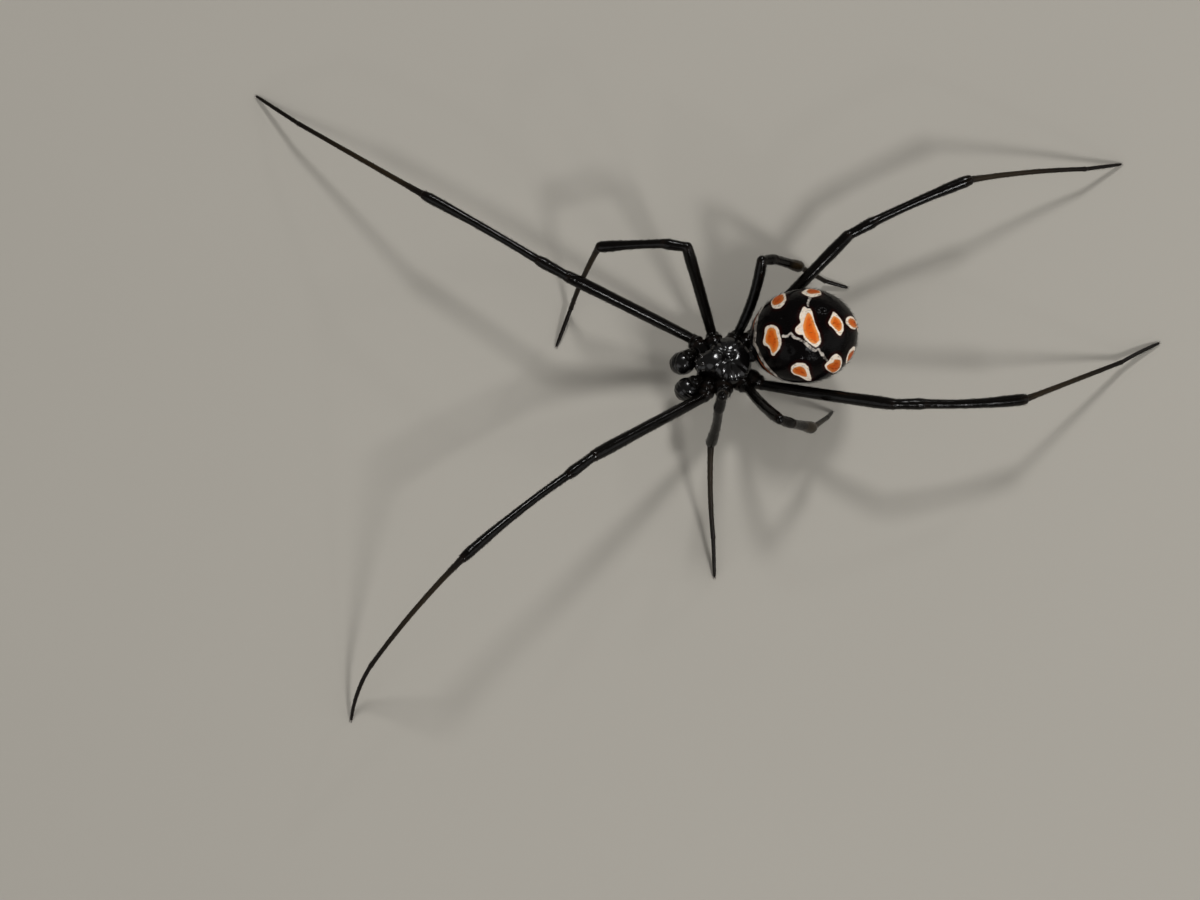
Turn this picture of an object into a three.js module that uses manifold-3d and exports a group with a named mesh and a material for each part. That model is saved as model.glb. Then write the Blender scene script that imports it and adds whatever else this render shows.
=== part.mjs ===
// A life-size male widow spider standing on a flat floor, in millimetres, +Z up.
// The head points towards -Y, the spider's left side is +X, and the feet stand at z = 0.
import * as THREE from "three";
import { mergeVertices } from "three/addons/utils/BufferGeometryUtils.js";
import Module from "manifold-3d";

const wasm = await Module();
wasm.setup();

// Driving dimensions

const gap = 0.1; // between two parts that meet face to face
const eyeGap = 0.02;
const weld = 0.005; // vertices nearer than this are one, so that a cut leaves no slivers

// The front body (head and thorax in one) is turned on the waist, a little to the right and over.
const frontBodyPose = { waist: [0, 1.15, 2.1], movedTo: [0.1, 1.15, 2.1], turn: -6, roll: -10 };

const carapace = {
  front: -1.15,
  back: 1.2,
  headHalfWidth: 0.56,
  thoraxHalfWidth: 1.05,
  headHeight: 0.66,
  thoraxHeight: 0.54,
  rim: 2.2,
  rimThickness: 0.1,
  pit: { y: 0.32, depth: 0.16, length: 0.22, width: 0.16 },
};
const sternum = { front: -1.02, back: 1.08, halfWidth: 0.64, tailHalfWidth: 0.4, bottom: 1.55, top: 2.08 };
// The abdomen and the spinnerets are drawn along +Y from the waist, then turned about it in step with the head.
const abdomen = {
  waist: [-0.13, 1.2],
  turn: -6,
  length: 4.5,
  halfWidth: 1.96,
  top: 5.2,
  bottom: 1.6,
  egg: -0.02,
  sag: 0.12,
};
const pedicel = { radius: 0.25, from: [0.1, 0.85, 2.08], to: [0.1, 1.9, 2.5] };
const spinnerets = { y: 3.5, z: 1.85, radius: 0.24, length: 0.5, spread: 0.27, lean: 58 };
const chelicera = { x: 0.21, y: -0.93, top: 2.04, bottom: 1.42, radius: 0.16, fang: 0.28 };
const eyeRadius = 0.078;

// Each eye sits where its station along the carapace and its angle up from the side put it.
const eyes = {
  front_middle: { station: 0.035, angle: 62 },
  front_side: { station: 0.06, angle: 26 },
  rear_middle: { station: 0.14, angle: 70 },
  rear_side: { station: 0.125, angle: 36 },
};

// Lengths of one leg of each pair, and where the trochanter ends beside the body.
const legPairs = {
  1: { root: [0.42, -0.5, 1.86], hip: [1.33, -1.0, 1.98], femur: 6.07, patella: 1.37, tibia: 5.66, metatarsus: 7.08, tarsus: 2.66 },
  2: { root: [0.46, -0.1, 1.86], hip: [1.36, -0.16, 1.98], femur: 4.47, patella: 0.99, tibia: 2.78, metatarsus: 4.15, tarsus: 1.69 },
  3: { root: [0.46, 0.28, 1.84], hip: [1.22, 0.87, 1.93], femur: 3.63, patella: 0.8, tibia: 1.98, metatarsus: 2.03, tarsus: 0.98 },
  4: { root: [0.38, 0.76, 1.8], hip: [1.15, 1.47, 1.8], femur: 5.82, patella: 1.3, tibia: 4.33, metatarsus: 5.61, tarsus: 1.9 },
};

// Heading is in degrees from straight sideways, positive towards the tail; pitch is above the horizon.
// The tarsus has no pitch of its own: it slopes as far as it takes to reach the floor.
const legPoses = {
  leg1_right: { femur: [-51.6, 20.8], tibia: [-42.4, -5.1], metatarsus: [-39.2, -18.8], tarsus: -35 },
  leg1_left: { femur: [-72.4, 24.9], tibia: [-65.2, 11], metatarsus: [-63, -40.5], tarsus: -39.5 },
  leg2_right: { femur: [-4.8, 45.2], tibia: [-72.4, -16.7], metatarsus: [-129.2, -60], tarsus: -142.6 },
  leg2_left: { femur: [-29.2, 75.9], tibia: [-32.4, -73.1], metatarsus: [-13.8, -30.4], tarsus: -13.2 },
  leg3_right: { femur: [36.5, 41], tibia: [100.2, -54.4], metatarsus: [115.3, -54.4], tarsus: 119 },
  leg3_left: { femur: [14.2, 50.8], tibia: [85.3, -60.4], metatarsus: [121.6, -56.9], tarsus: 131.8 },
  leg4_right: { femur: [61, 9.6], tibia: [82.5, 2.7], metatarsus: [94.4, -20.4], tarsus: 90.2 },
  leg4_left: { femur: [60.4, 20], tibia: [79.3, -11.3], metatarsus: [100.4, -28], tarsus: 102.6 },
};
const patellaFollowsTibia = 0.8; // how far the patella's direction has turned from the femur's to the tibia's

// Radii along each segment: at its start, its thickest or thinnest middle, and its end.
const girths = {
  femur: [0.26, 0.29, 0.27],
  patella: [0.27, 0.275, 0.265],
  tibia: [0.265, 0.26, 0.26],
  metatarsus: [0.26, 0.255, 0.25],
  tarsus: [0.25, 0.21, 0.12],
};
const coxaRadii = [0.18, 0.245, 0.26];
const femurBow = 0.012; // sag of the femur's axis, as a share of its length
const toeHeight = 0.07; // of the centre of the rounded toe, which the floor cuts flat

const palps = {
  left: { stalk: [[0.4, -0.82, 1.82], [0.62, -1.12, 2.24], [0.74, -1.32, 2.28]], bulb: [0.82, -1.64, 1.86] },
  right: { stalk: [[-0.4, -0.82, 1.82], [-0.58, -1.12, 2.24], [-0.46, -1.36, 2.28]], bulb: [-0.36, -1.62, 1.92] },
};
const palpRadii = [0.15, 0.2, 0.23];
const bulb = { radius: 0.49, length: 0.53 };

const colours = {
  shell: new THREE.MeshStandardMaterial({ color: 0x0b0a09, roughness: 0.22, metalness: 0 }),
  hide: new THREE.MeshStandardMaterial({ color: 0x0d0b0b, roughness: 0.34, metalness: 0 }),
  limb: new THREE.MeshStandardMaterial({ color: 0x100c08, roughness: 0.28, metalness: 0 }),
  shin: new THREE.MeshStandardMaterial({ color: 0x1d140b, roughness: 0.34, metalness: 0 }),
  eye: new THREE.MeshStandardMaterial({ color: 0x050505, roughness: 0.06, metalness: 0 }),
};

// Solids and cuts

function solid(geometry, tolerance = 1e-4) {
  const bare = geometry.clone();
  bare.deleteAttribute("normal");
  bare.deleteAttribute("uv");
  const merged = mergeVertices(bare, tolerance);
  const mesh = new wasm.Mesh({
    numProp: 3,
    vertProperties: merged.attributes.position.array,
    triVerts: new Uint32Array(merged.index.array),
  });
  return new wasm.Manifold(mesh);
}

function meshed(made) {
  const mesh = made.getMesh();
  const geometry = new THREE.BufferGeometry();
  geometry.setAttribute("position", new THREE.BufferAttribute(new Float32Array(mesh.vertProperties), 3));
  geometry.setIndex(new THREE.BufferAttribute(new Uint32Array(mesh.triVerts), 1));
  return geometry;
}

// The largest closed body of what was cut or joined.
function geometryOf(made) {
  const pieces = solid(meshed(made), weld).decompose();
  const geometry = meshed(pieces.sort((a, b) => b.volume() - a.volume())[0]);
  geometry.computeVertexNormals();
  return geometry;
}

const frontBody = new THREE.Matrix4()
  .makeTranslation(...frontBodyPose.movedTo)
  .multiply(new THREE.Matrix4().makeRotationZ(THREE.MathUtils.degToRad(frontBodyPose.turn)))
  .multiply(new THREE.Matrix4().makeRotationY(THREE.MathUtils.degToRad(frontBodyPose.roll)))
  .multiply(new THREE.Matrix4().makeTranslation(...frontBodyPose.waist.map((value) => -value)));

const hindBody = new THREE.Matrix4()
  .makeTranslation(...abdomen.waist, 0)
  .multiply(new THREE.Matrix4().makeRotationZ(THREE.MathUtils.degToRad(abdomen.turn)));

function fuse(solids) {
  return solids.reduce((joined, next) => joined.add(next));
}

// A large block whose near face passes through point, facing against direction: what lies beyond is cut away.
function beyond(point, direction, size = 3) {
  const block = new THREE.BoxGeometry(size, size, size);
  const turn = new THREE.Quaternion().setFromUnitVectors(new THREE.Vector3(0, 0, 1), direction);
  block.translate(0, 0, size / 2).applyQuaternion(turn).translate(point.x, point.y, point.z);
  return solid(block);
}

// Rounded shapes of the body

const smooth = (low, high, value) => THREE.MathUtils.smoothstep(value, low, high);
const mix = THREE.MathUtils.lerp;

// Moves each point of a unit sphere, whose poles lie along Y, to where place(x, y, z) says.
function shaped(columns, rows, place) {
  const ball = new THREE.SphereGeometry(1, columns, rows);
  const at = ball.attributes.position;
  for (let i = 0; i < at.count; i += 1) {
    at.setXYZ(i, ...place(at.getX(i), at.getY(i), at.getZ(i)));
  }
  return ball;
}

function carapacePoint(x, y, z, grow = 0) {
  const { front, back, headHalfWidth, thoraxHalfWidth, headHeight, thoraxHeight, rim, rimThickness, pit } = carapace;
  const along = (y + 1) / 2;
  const ring = Math.hypot(x, z) || 1;
  const blunt = Math.sqrt(1 - Math.abs(y) ** 3.4);
  const halfWidth = blunt * mix(headHalfWidth, thoraxHalfWidth, smooth(0.18, 0.6, along)) + grow;
  const height = blunt * mix(headHeight, thoraxHeight, smooth(0.3, 0.75, along)) + grow;
  const px = (halfWidth * x) / ring;
  const py = mix(front - grow, back + grow, along);
  const rise = z > 0 ? height * (z / ring) : (rimThickness + grow) * (z / ring) * Math.min(1, blunt * 1.5);
  const inPit = Math.exp(-((px / pit.width) ** 2) - ((py - pit.y) / pit.length) ** 2);
  return [px, py, rim + rise - (z > 0 && !grow ? pit.depth * inPit : 0)];
}

function sternumPoint(x, y, z, grow = 0) {
  const { front, back, halfWidth, tailHalfWidth, bottom, top } = sternum;
  const along = (y + 1) / 2;
  const ring = Math.hypot(x, z) || 1;
  const blunt = Math.sqrt(1 - Math.abs(y) ** 3);
  const reach = blunt * mix(halfWidth, tailHalfWidth, smooth(0.45, 1, along)) * mix(0.72, 1, smooth(0, 0.4, along));
  const middle = (top + bottom) / 2;
  const half = (top - bottom) / 2;
  const side = Math.sign(x) * Math.abs(x / ring) ** 0.75;
  const lift = Math.sign(z) * Math.abs(z / ring) ** 0.6;
  return [(reach + grow) * side, mix(front - grow, back + grow, along), middle + (blunt * half + grow) * lift];
}

function abdomenPoint(x, y, z, grow = 0) {
  const { length, halfWidth, top, bottom, egg, sag } = abdomen;
  const girth = 1 - egg * y * (1 - y * y) ** 0.5;
  const middle = (top + bottom) / 2;
  const half = (top - bottom) / 2;
  const py = mix(-grow, length + grow, (y + 1) / 2);
  return [(halfWidth + grow) * x * girth, py, middle + (half + grow) * z * girth - sag * y * (1 - y * y)];
}

const bodyForms = {
  carapace: (grow) => solid(shaped(24, 16, (x, y, z) => carapacePoint(x, y, z, grow))),
  sternum: (grow) => solid(shaped(20, 12, (x, y, z) => sternumPoint(x, y, z, grow))),
  abdomen: (grow) => solid(shaped(34, 24, (x, y, z) => abdomenPoint(x, y, z, grow))),
};

// A closed round bar along +Y from a to b, with rounded ends centred on both, and radii given by radius(share).
function bar(length, radius, sides = 10, steps = 6) {
  const profile = [new THREE.Vector2(0, -radius(0))];
  const arc = 2;
  for (let i = 1; i <= arc; i += 1) {
    const turn = (i / (arc + 1)) * (Math.PI / 2);
    profile.push(new THREE.Vector2(radius(0) * Math.sin(turn), -radius(0) * Math.cos(turn)));
  }
  for (let i = 0; i <= steps; i += 1) {
    profile.push(new THREE.Vector2(radius(i / steps), (length * i) / steps));
  }
  for (let i = arc; i >= 1; i -= 1) {
    const turn = (i / (arc + 1)) * (Math.PI / 2);
    profile.push(new THREE.Vector2(radius(1) * Math.sin(turn), length + radius(1) * Math.cos(turn)));
  }
  profile.push(new THREE.Vector2(0, length + radius(1)));
  return new THREE.LatheGeometry(profile, sides);
}

// Three radii along a bar, joined smoothly.
function swelling([start, middle, end]) {
  return (share) => {
    const early = mix(start, middle, smooth(0, 0.5, share));
    return mix(early, end, smooth(0.5, 1, share));
  };
}

const alongY = new THREE.Vector3(0, 1, 0);

// A bar between two points of the body.
function barBetween(from, to, radii, sides = 10, steps = 3) {
  const start = new THREE.Vector3(...from);
  const step = new THREE.Vector3(...to).sub(start);
  const geometry = bar(step.length(), swelling(radii), sides, steps);
  geometry.applyQuaternion(new THREE.Quaternion().setFromUnitVectors(alongY, step.clone().normalize()));
  return geometry.translate(start.x, start.y, start.z);
}

// Legs

const legSegments = ["femur", "patella", "tibia", "metatarsus", "tarsus"];

function direction(side, heading, pitch) {
  const h = THREE.MathUtils.degToRad(heading);
  const p = THREE.MathUtils.degToRad(pitch);
  return new THREE.Vector3(side * Math.cos(h) * Math.cos(p), Math.sin(h) * Math.cos(p), Math.sin(p));
}

// The points where a leg's segments meet, and the direction of each segment.
function legLine(name) {
  const pair = legPairs[name[3]];
  const pose = legPoses[name];
  const side = name.endsWith("left") ? 1 : -1;
  const ways = {
    femur: direction(side, ...pose.femur),
    tibia: direction(side, ...pose.tibia),
    metatarsus: direction(side, ...pose.metatarsus),
  };
  ways.patella = ways.femur.clone().lerp(ways.tibia, patellaFollowsTibia).normalize();
  const points = [new THREE.Vector3(side * pair.hip[0], pair.hip[1], pair.hip[2]).applyMatrix4(frontBody)];
  for (const segment of legSegments) {
    const from = points[points.length - 1];
    if (segment === "tarsus") {
      const drop = THREE.MathUtils.radToDeg(Math.asin((toeHeight - from.z) / pair.tarsus));
      ways.tarsus = direction(side, pose.tarsus, drop);
    }
    points.push(from.clone().addScaledVector(ways[segment], pair[segment]));
  }
  return { side, pair, points, ways };
}

// The coxa and trochanter, from under the carapace to the root of the femur.
function hipSolid({ side, pair }, grow = 0) {
  const [root, hip] = [pair.root, pair.hip].map(([x, y, z]) => [side * x, y, z]);
  return solid(barBetween(root, hip, coxaRadii.map((radius) => radius + grow), 10, 3));
}

function segmentSolid(segment, length) {
  const geometry = bar(length, swelling(girths[segment]), 10, segment === "patella" ? 3 : 6);
  if (segment === "femur") {
    const at = geometry.attributes.position;
    for (let i = 0; i < at.count; i += 1) {
      const share = THREE.MathUtils.clamp(at.getY(i) / length, 0, 1);
      at.setZ(i, at.getZ(i) + femurBow * length * 4 * share * (1 - share));
    }
  }
  return solid(geometry);
}

// A frame whose +Y runs along way and whose +Z is as near to up as it can be.
function frameAlong(way) {
  const sideways = new THREE.Vector3().crossVectors(way, new THREE.Vector3(0, 0, 1)).normalize();
  const over = new THREE.Vector3().crossVectors(sideways, way);
  return new THREE.Quaternion().setFromRotationMatrix(new THREE.Matrix4().makeBasis(sideways, way, over));
}

// One leg as a chain of nested groups, so that each joint carries all that lies beyond it.
function makeLeg(name, bodySolids) {
  const line = legLine(name);
  const { points, ways } = line;
  const leg = new THREE.Group();
  leg.position.copy(points[0]);
  let parent = leg;
  let parentTurn = new THREE.Quaternion();
  legSegments.forEach((segment, i) => {
    const way = ways[segment];
    const turn = frameAlong(way);
    const toWorld = new THREE.Matrix4().compose(points[i], turn, new THREE.Vector3(1, 1, 1));
    const joint = new THREE.Group();
    joint.quaternion.copy(parentTurn.clone().invert().multiply(turn));
    joint.position.set(0, i ? line.pair[legSegments[i - 1]] : 0, 0);
    parent.add(joint);

    let made = segmentSolid(segment, line.pair[segment]).transform(toWorld.elements);
    if (i === 0) {
      made = bodySolids.reduce((left, body) => left.subtract(body), made.add(hipSolid(line).transform(frontBody.elements)));
    } else {
      const crease = ways[legSegments[i - 1]].clone().add(way).normalize();
      made = made.subtract(beyond(points[i].clone().addScaledVector(crease, gap / 2), crease.clone().negate()));
    }
    if (segment === "tarsus") {
      made = made.subtract(beyond(new THREE.Vector3(points[i + 1].x, points[i + 1].y, 0), new THREE.Vector3(0, 0, -1)));
    } else {
      const crease = way.clone().add(ways[legSegments[i + 1]]).normalize();
      made = made.subtract(beyond(points[i + 1].clone().addScaledVector(crease, -gap / 2), crease));
    }
    const local = made.transform(toWorld.clone().invert().elements);
    const mesh = new THREE.Mesh(geometryOf(local), i < 3 ? colours.limb : colours.shin);
    mesh.name = `${name}_${segment}`;
    joint.add(mesh);
    parent = joint;
    parentTurn = turn;
  });
  return leg;
}

// Head and body parts

function eyePoint({ station, angle }, side) {
  const turn = THREE.MathUtils.degToRad(angle);
  const y = station * 2 - 1;
  return new THREE.Vector3(...carapacePoint(side * Math.cos(turn), y, Math.sin(turn)));
}

function eyePlaces() {
  const places = [];
  for (const [name, spot] of Object.entries(eyes)) {
    for (const [sideName, side] of [["left", 1], ["right", -1]]) {
      places.push({ name: `eye_${name}_${sideName}`, at: eyePoint(spot, side) });
    }
  }
  return places;
}

function eyeball(radius, at) {
  return new THREE.SphereGeometry(radius, 8, 6).translate(at.x, at.y, at.z);
}

function spinneretSolid() {
  const { y, z, radius, length, spread, lean } = spinnerets;
  const tilt = THREE.MathUtils.degToRad(lean);
  const out = new THREE.Vector3(0, Math.cos(tilt), -Math.sin(tilt));
  const across = new THREE.Vector3(0, Math.sin(tilt), Math.cos(tilt));
  const cones = [];
  for (const [sideways, upward, share] of [[1, 0.55, 1], [-1, 0.55, 1], [1, -0.65, 0.9], [-1, -0.65, 0.9], [0, 0, 0.75]]) {
    const from = new THREE.Vector3(sideways * spread * 0.5, y, z).addScaledVector(across, upward * spread * 0.6);
    const start = from.clone().addScaledVector(out, -length * 0.6);
    const end = from.clone().addScaledVector(out, length * share).add(new THREE.Vector3(sideways * 0.03, 0, 0));
    cones.push(solid(barBetween(start.toArray(), end.toArray(), [radius * 0.8, radius * 0.62, radius * 0.3], 9, 3)));
  }
  return fuse(cones);
}

function cheliceraSolid(side, grow = 0) {
  const { x, y, top, bottom, fang } = chelicera;
  const radius = chelicera.radius + grow;
  const foot = [side * (x + 0.01), y - 0.03, bottom];
  const tip = [side * (x - 0.07), y + 0.08, bottom - fang];
  return fuse([
    solid(barBetween([side * x, y, top], foot, [radius, radius, radius * 0.72], 12, 4)),
    solid(barBetween(foot, tip, [radius * 0.5, radius * 0.3, radius * 0.12], 8, 3)),
  ]);
}

function palpSolid({ stalk }) {
  return fuse([
    solid(barBetween(stalk[0], stalk[1], [palpRadii[0], palpRadii[1], palpRadii[1]])),
    solid(barBetween(stalk[1], stalk[2], [palpRadii[1], palpRadii[2], palpRadii[2]])),
  ]);
}

function bulbSolid(at, grow = 0) {
  const ball = new THREE.SphereGeometry(1, 18, 12);
  ball.scale(bulb.radius + grow, bulb.length + grow, bulb.radius + grow);
  return solid(ball.translate(...at));
}

function pedicelSolid() {
  const { radius, from, to } = pedicel;
  return solid(barBetween(from, to, [radius, radius, radius], 14, 2));
}

// Assembly

const spider = new THREE.Group();
const front = new THREE.Group();
front.applyMatrix4(frontBody);
const hind = new THREE.Group();
hind.applyMatrix4(hindBody);
spider.add(front, hind);

function add(carrier, name, made, material) {
  const mesh = new THREE.Mesh(geometryOf(made), material);
  mesh.name = name;
  carrier.add(mesh);
}

function cut(made, ...cutters) {
  return cutters.reduce((left, cutter) => left.subtract(cutter), made);
}

const grown = Object.fromEntries(Object.entries(bodyForms).map(([name, form]) => [name, form(gap)]));
const placed = [grown.carapace, grown.sternum].map((form) => form.transform(frontBody.elements));
const sockets = eyePlaces().map(({ at }) => solid(eyeball(eyeRadius + eyeGap, at)));

add(front, "carapace", cut(bodyForms.carapace(0), ...sockets), colours.shell);
add(front, "sternum", cut(bodyForms.sternum(0), grown.carapace), colours.shell);
for (const { name, at } of eyePlaces()) {
  add(front, name, solid(eyeball(eyeRadius, at)), colours.eye);
}
for (const [sideName, side] of [["left", 1], ["right", -1]]) {
  const palp = palps[sideName];
  const mouthpart = cut(cheliceraSolid(side), grown.carapace, grown.sternum);
  const neighbours = [cheliceraSolid(side, gap), hipSolid({ side, pair: legPairs[1] }, gap), bulbSolid(palp.bulb, gap)];
  const stalk = cut(palpSolid(palp), grown.carapace, grown.sternum, ...neighbours);
  add(front, `chelicera_${sideName}`, mouthpart, colours.shell);
  add(front, `palp_${sideName}`, stalk, colours.limb);
  add(front, `palp_bulb_${sideName}`, bulbSolid(palp.bulb), colours.hide);
}
add(spider, "pedicel", cut(pedicelSolid(), ...placed, grown.abdomen.transform(hindBody.elements)), colours.shell);
add(hind, "abdomen", bodyForms.abdomen(0), colours.hide);
add(hind, "spinnerets", cut(spinneretSolid(), grown.abdomen), colours.hide);
for (const name of Object.keys(legPoses)) {
  spider.add(makeLeg(name, placed));
}

// The origin is on the floor under the middle of the whole outline.
const box = new THREE.Box3().setFromObject(spider, true);
spider.position.set(-(box.min.x + box.max.x) / 2, -(box.min.y + box.max.y) / 2, 0);

const part = new THREE.Group();
part.add(spider);

export default part;
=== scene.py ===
"""Skins, markings, eyes, mouthparts, claws and bristles of a life-size male widow spider."""

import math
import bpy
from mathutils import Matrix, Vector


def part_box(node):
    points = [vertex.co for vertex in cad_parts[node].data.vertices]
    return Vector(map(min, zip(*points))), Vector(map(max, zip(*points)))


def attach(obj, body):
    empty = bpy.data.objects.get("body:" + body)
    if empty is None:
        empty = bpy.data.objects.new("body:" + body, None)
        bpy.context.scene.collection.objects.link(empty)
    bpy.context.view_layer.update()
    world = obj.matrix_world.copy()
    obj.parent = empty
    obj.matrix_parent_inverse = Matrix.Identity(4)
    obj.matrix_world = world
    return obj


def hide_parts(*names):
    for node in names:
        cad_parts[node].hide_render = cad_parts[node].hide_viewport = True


bl_info = {
    "name": "Widow Spider Model",
    "version": (1, 0, 0),
    "blender": (4, 5, 0),
    "location": "View3D > Sidebar > Widow Spider",
    "description": "Skin, markings, eyes, claws and bristles of a life-size male widow spider",
    "category": "Add Mesh",
}

import bpy
import numpy as np
from bpy.props import FloatProperty, FloatVectorProperty, IntProperty, PointerProperty
from mathutils import Matrix, Vector, noise

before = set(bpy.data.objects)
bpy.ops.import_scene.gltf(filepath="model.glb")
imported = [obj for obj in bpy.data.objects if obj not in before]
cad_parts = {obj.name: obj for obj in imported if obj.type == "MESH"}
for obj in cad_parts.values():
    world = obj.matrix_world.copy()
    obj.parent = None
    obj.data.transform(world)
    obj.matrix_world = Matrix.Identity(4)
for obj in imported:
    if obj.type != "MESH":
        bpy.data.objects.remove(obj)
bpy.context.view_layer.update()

# Sizes in this script are millimetres in the spider's own frame: the waist is near x = 0, the head points
# towards -Y, the left side is +X and the floor is z = 0.
MM = 0.001

CARAPACE = {
    "front": -1.15, "back": 1.2, "head_half": 0.56, "thorax_half": 1.05, "head_height": 0.66,
    "thorax_height": 0.54, "rim": 2.2, "rim_thickness": 0.1, "pit_y": 0.32, "pit_depth": 0.16,
    "pit_length": 0.22, "pit_width": 0.16,
}
STERNUM = {"front": -1.02, "back": 1.08, "half": 0.64, "tail_half": 0.4, "bottom": 1.55, "top": 2.08}
# The abdomen is drawn along +Y from the waist, then turned about it in step with the head.
ABDOMEN = {
    "waist": (-0.13, 1.2), "turn": -6, "length": 4.5, "half": 1.96, "top": 5.2, "bottom": 1.6,
    "egg": -0.02, "sag": 0.12,
}
PEDICEL = {"radius": 0.25, "from": (0.1, 0.85, 2.08), "to": (0.1, 1.9, 2.5)}
SPINNERETS = {"y": 3.5, "z": 1.85, "radius": 0.24, "length": 0.5, "spread": 0.27, "lean": 58}
CHELICERA = {"x": 0.21, "y": -0.93, "top": 2.04, "bottom": 1.42, "radius": 0.17, "fang": 0.3}
FANG = {"radius": 0.075, "bend": 0.42, "inside": 0.03}
# The lip and the lobe at its left side, each as its middle and its half sizes.
LIP = ((0, -0.87, 1.6), (0.15, 0.17, 0.1))
LOBE = ((0.24, -0.93, 1.66), (0.13, 0.2, 0.13))
# Furrows in the carapace, with ends as on the left side.
FURROW_WIDTH = 0.09
HEAD_FURROW = {"start": (0.14, 0.12), "end": (0.6, -0.5), "depth": 0.045}
THORAX_FURROWS = {"start_x": 0.3, "ends": ((0.9, -0.12), (0.95, 0.42), (0.7, 0.94)), "depth": 0.028}
MIDDLE_FURROW = {"before": 0.1, "behind": 0.14, "width": 0.035, "depth": 0.06}
EYE_MOUND = {"width": 0.12, "height": 0.035}
EYE_RADIUS = 0.078
EYES = {
    "front_middle": (0.035, 62),
    "front_side": (0.06, 26),
    "rear_middle": (0.14, 70),
    "rear_side": (0.125, 36),
}
SIDES = {"left": 1, "right": -1}

# The head and thorax are turned and rolled on the waist.
WAIST = Vector((0.0, 1.15, 2.1))
WAIST_MOVED_TO = Vector((0.1, 1.15, 2.1))
FRONT_TURN = -6
FRONT_ROLL = -10

SEGMENTS = ("femur", "patella", "tibia", "metatarsus", "tarsus")
LEG_PAIRS = {
    "1": {
        "root": (0.42, -0.5, 1.86),
        "hip": (1.33, -1.0, 1.98),
        "lengths": (6.07, 1.37, 5.66, 7.08, 2.66),
    },
    "2": {
        "root": (0.46, -0.1, 1.86),
        "hip": (1.36, -0.16, 1.98),
        "lengths": (4.47, 0.99, 2.78, 4.15, 1.69),
    },
    "3": {
        "root": (0.46, 0.28, 1.84),
        "hip": (1.22, 0.87, 1.93),
        "lengths": (3.63, 0.8, 1.98, 2.03, 0.98),
    },
    "4": {"root": (0.38, 0.76, 1.8), "hip": (1.15, 1.47, 1.8), "lengths": (5.82, 1.3, 4.33, 5.61, 1.9)},
}
# Heading in degrees from straight sideways, positive towards the tail, and pitch above the horizon, of the
# femur, tibia and metatarsus, then the heading of the tarsus, which slopes down to the floor.
LEG_POSES = {
    "leg1_right": ((-51.6, 20.8), (-42.4, -5.1), (-39.2, -18.8), -35),
    "leg1_left": ((-72.4, 24.9), (-65.2, 11), (-63, -40.5), -39.5),
    "leg2_right": ((-4.8, 45.2), (-72.4, -16.7), (-129.2, -60), -142.6),
    "leg2_left": ((-29.2, 75.9), (-32.4, -73.1), (-13.8, -30.4), -13.2),
    "leg3_right": ((36.5, 41), (100.2, -54.4), (115.3, -54.4), 119),
    "leg3_left": ((14.2, 50.8), (85.3, -60.4), (121.6, -56.9), 131.8),
    "leg4_right": ((61, 9.6), (82.5, 2.7), (94.4, -20.4), 90.2),
    "leg4_left": ((60.4, 20), (79.3, -11.3), (100.4, -28), 102.6),
}
# How far the middle of a segment bows sideways, to the right of its own direction seen from above.
LEG_BOWS = {
    "leg1_right": {"tibia": 0.04},
    "leg1_left": {"tibia": 0.09, "metatarsus": 0.12, "tarsus": 0.13},
    "leg2_right": {"tibia": 0.02, "metatarsus": 0.07},
    "leg2_left": {"tibia": -0.05, "metatarsus": 0.07},
    "leg3_right": {"femur": 0.15},
    "leg3_left": {"femur": 0.1},
    "leg4_right": {"tibia": -0.05, "metatarsus": -0.09},
    "leg4_left": {"femur": 0.05, "tibia": 0.08, "tarsus": -0.03},
}
PATELLA_FOLLOWS_TIBIA = 0.8
TOE_HEIGHT = 0.07
FEMUR_BOW = 0.012
KNUCKLE = 0.7
CLAW = {
    "length": 0.13, "radius": 0.014, "spread": 0.34, "apart": 0.018, "lift": 0.012, "bend": 0.42,
    "teeth": 4,
}
CLAW_TOOTH = {"length": 0.03, "radius": 0.004}
COMB = {"bristles": 9, "first": 0.22, "step": 0.075, "length": 0.17, "shorter": 0.007, "radius": 0.008}
FLOOR_CLEARANCE = 0.003

# Radius of each segment at its thickest, from the coxa to the tarsus.
LEG_GIRTHS = {
    "1": {
        "coxa": 0.42, "trochanter": 0.38, "femur": 0.265, "patella": 0.245, "tibia": 0.196,
        "metatarsus": 0.118, "tarsus": 0.096,
    },
    "2": {
        "coxa": 0.46, "trochanter": 0.42, "femur": 0.25, "patella": 0.24, "tibia": 0.215,
        "metatarsus": 0.12, "tarsus": 0.094,
    },
    "3": {
        "coxa": 0.44, "trochanter": 0.38, "femur": 0.235, "patella": 0.23, "tibia": 0.225,
        "metatarsus": 0.116, "tarsus": 0.092,
    },
    "4": {
        "coxa": 0.4, "trochanter": 0.36, "femur": 0.262, "patella": 0.248, "tibia": 0.222,
        "metatarsus": 0.118, "tarsus": 0.092,
    },
}
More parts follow.
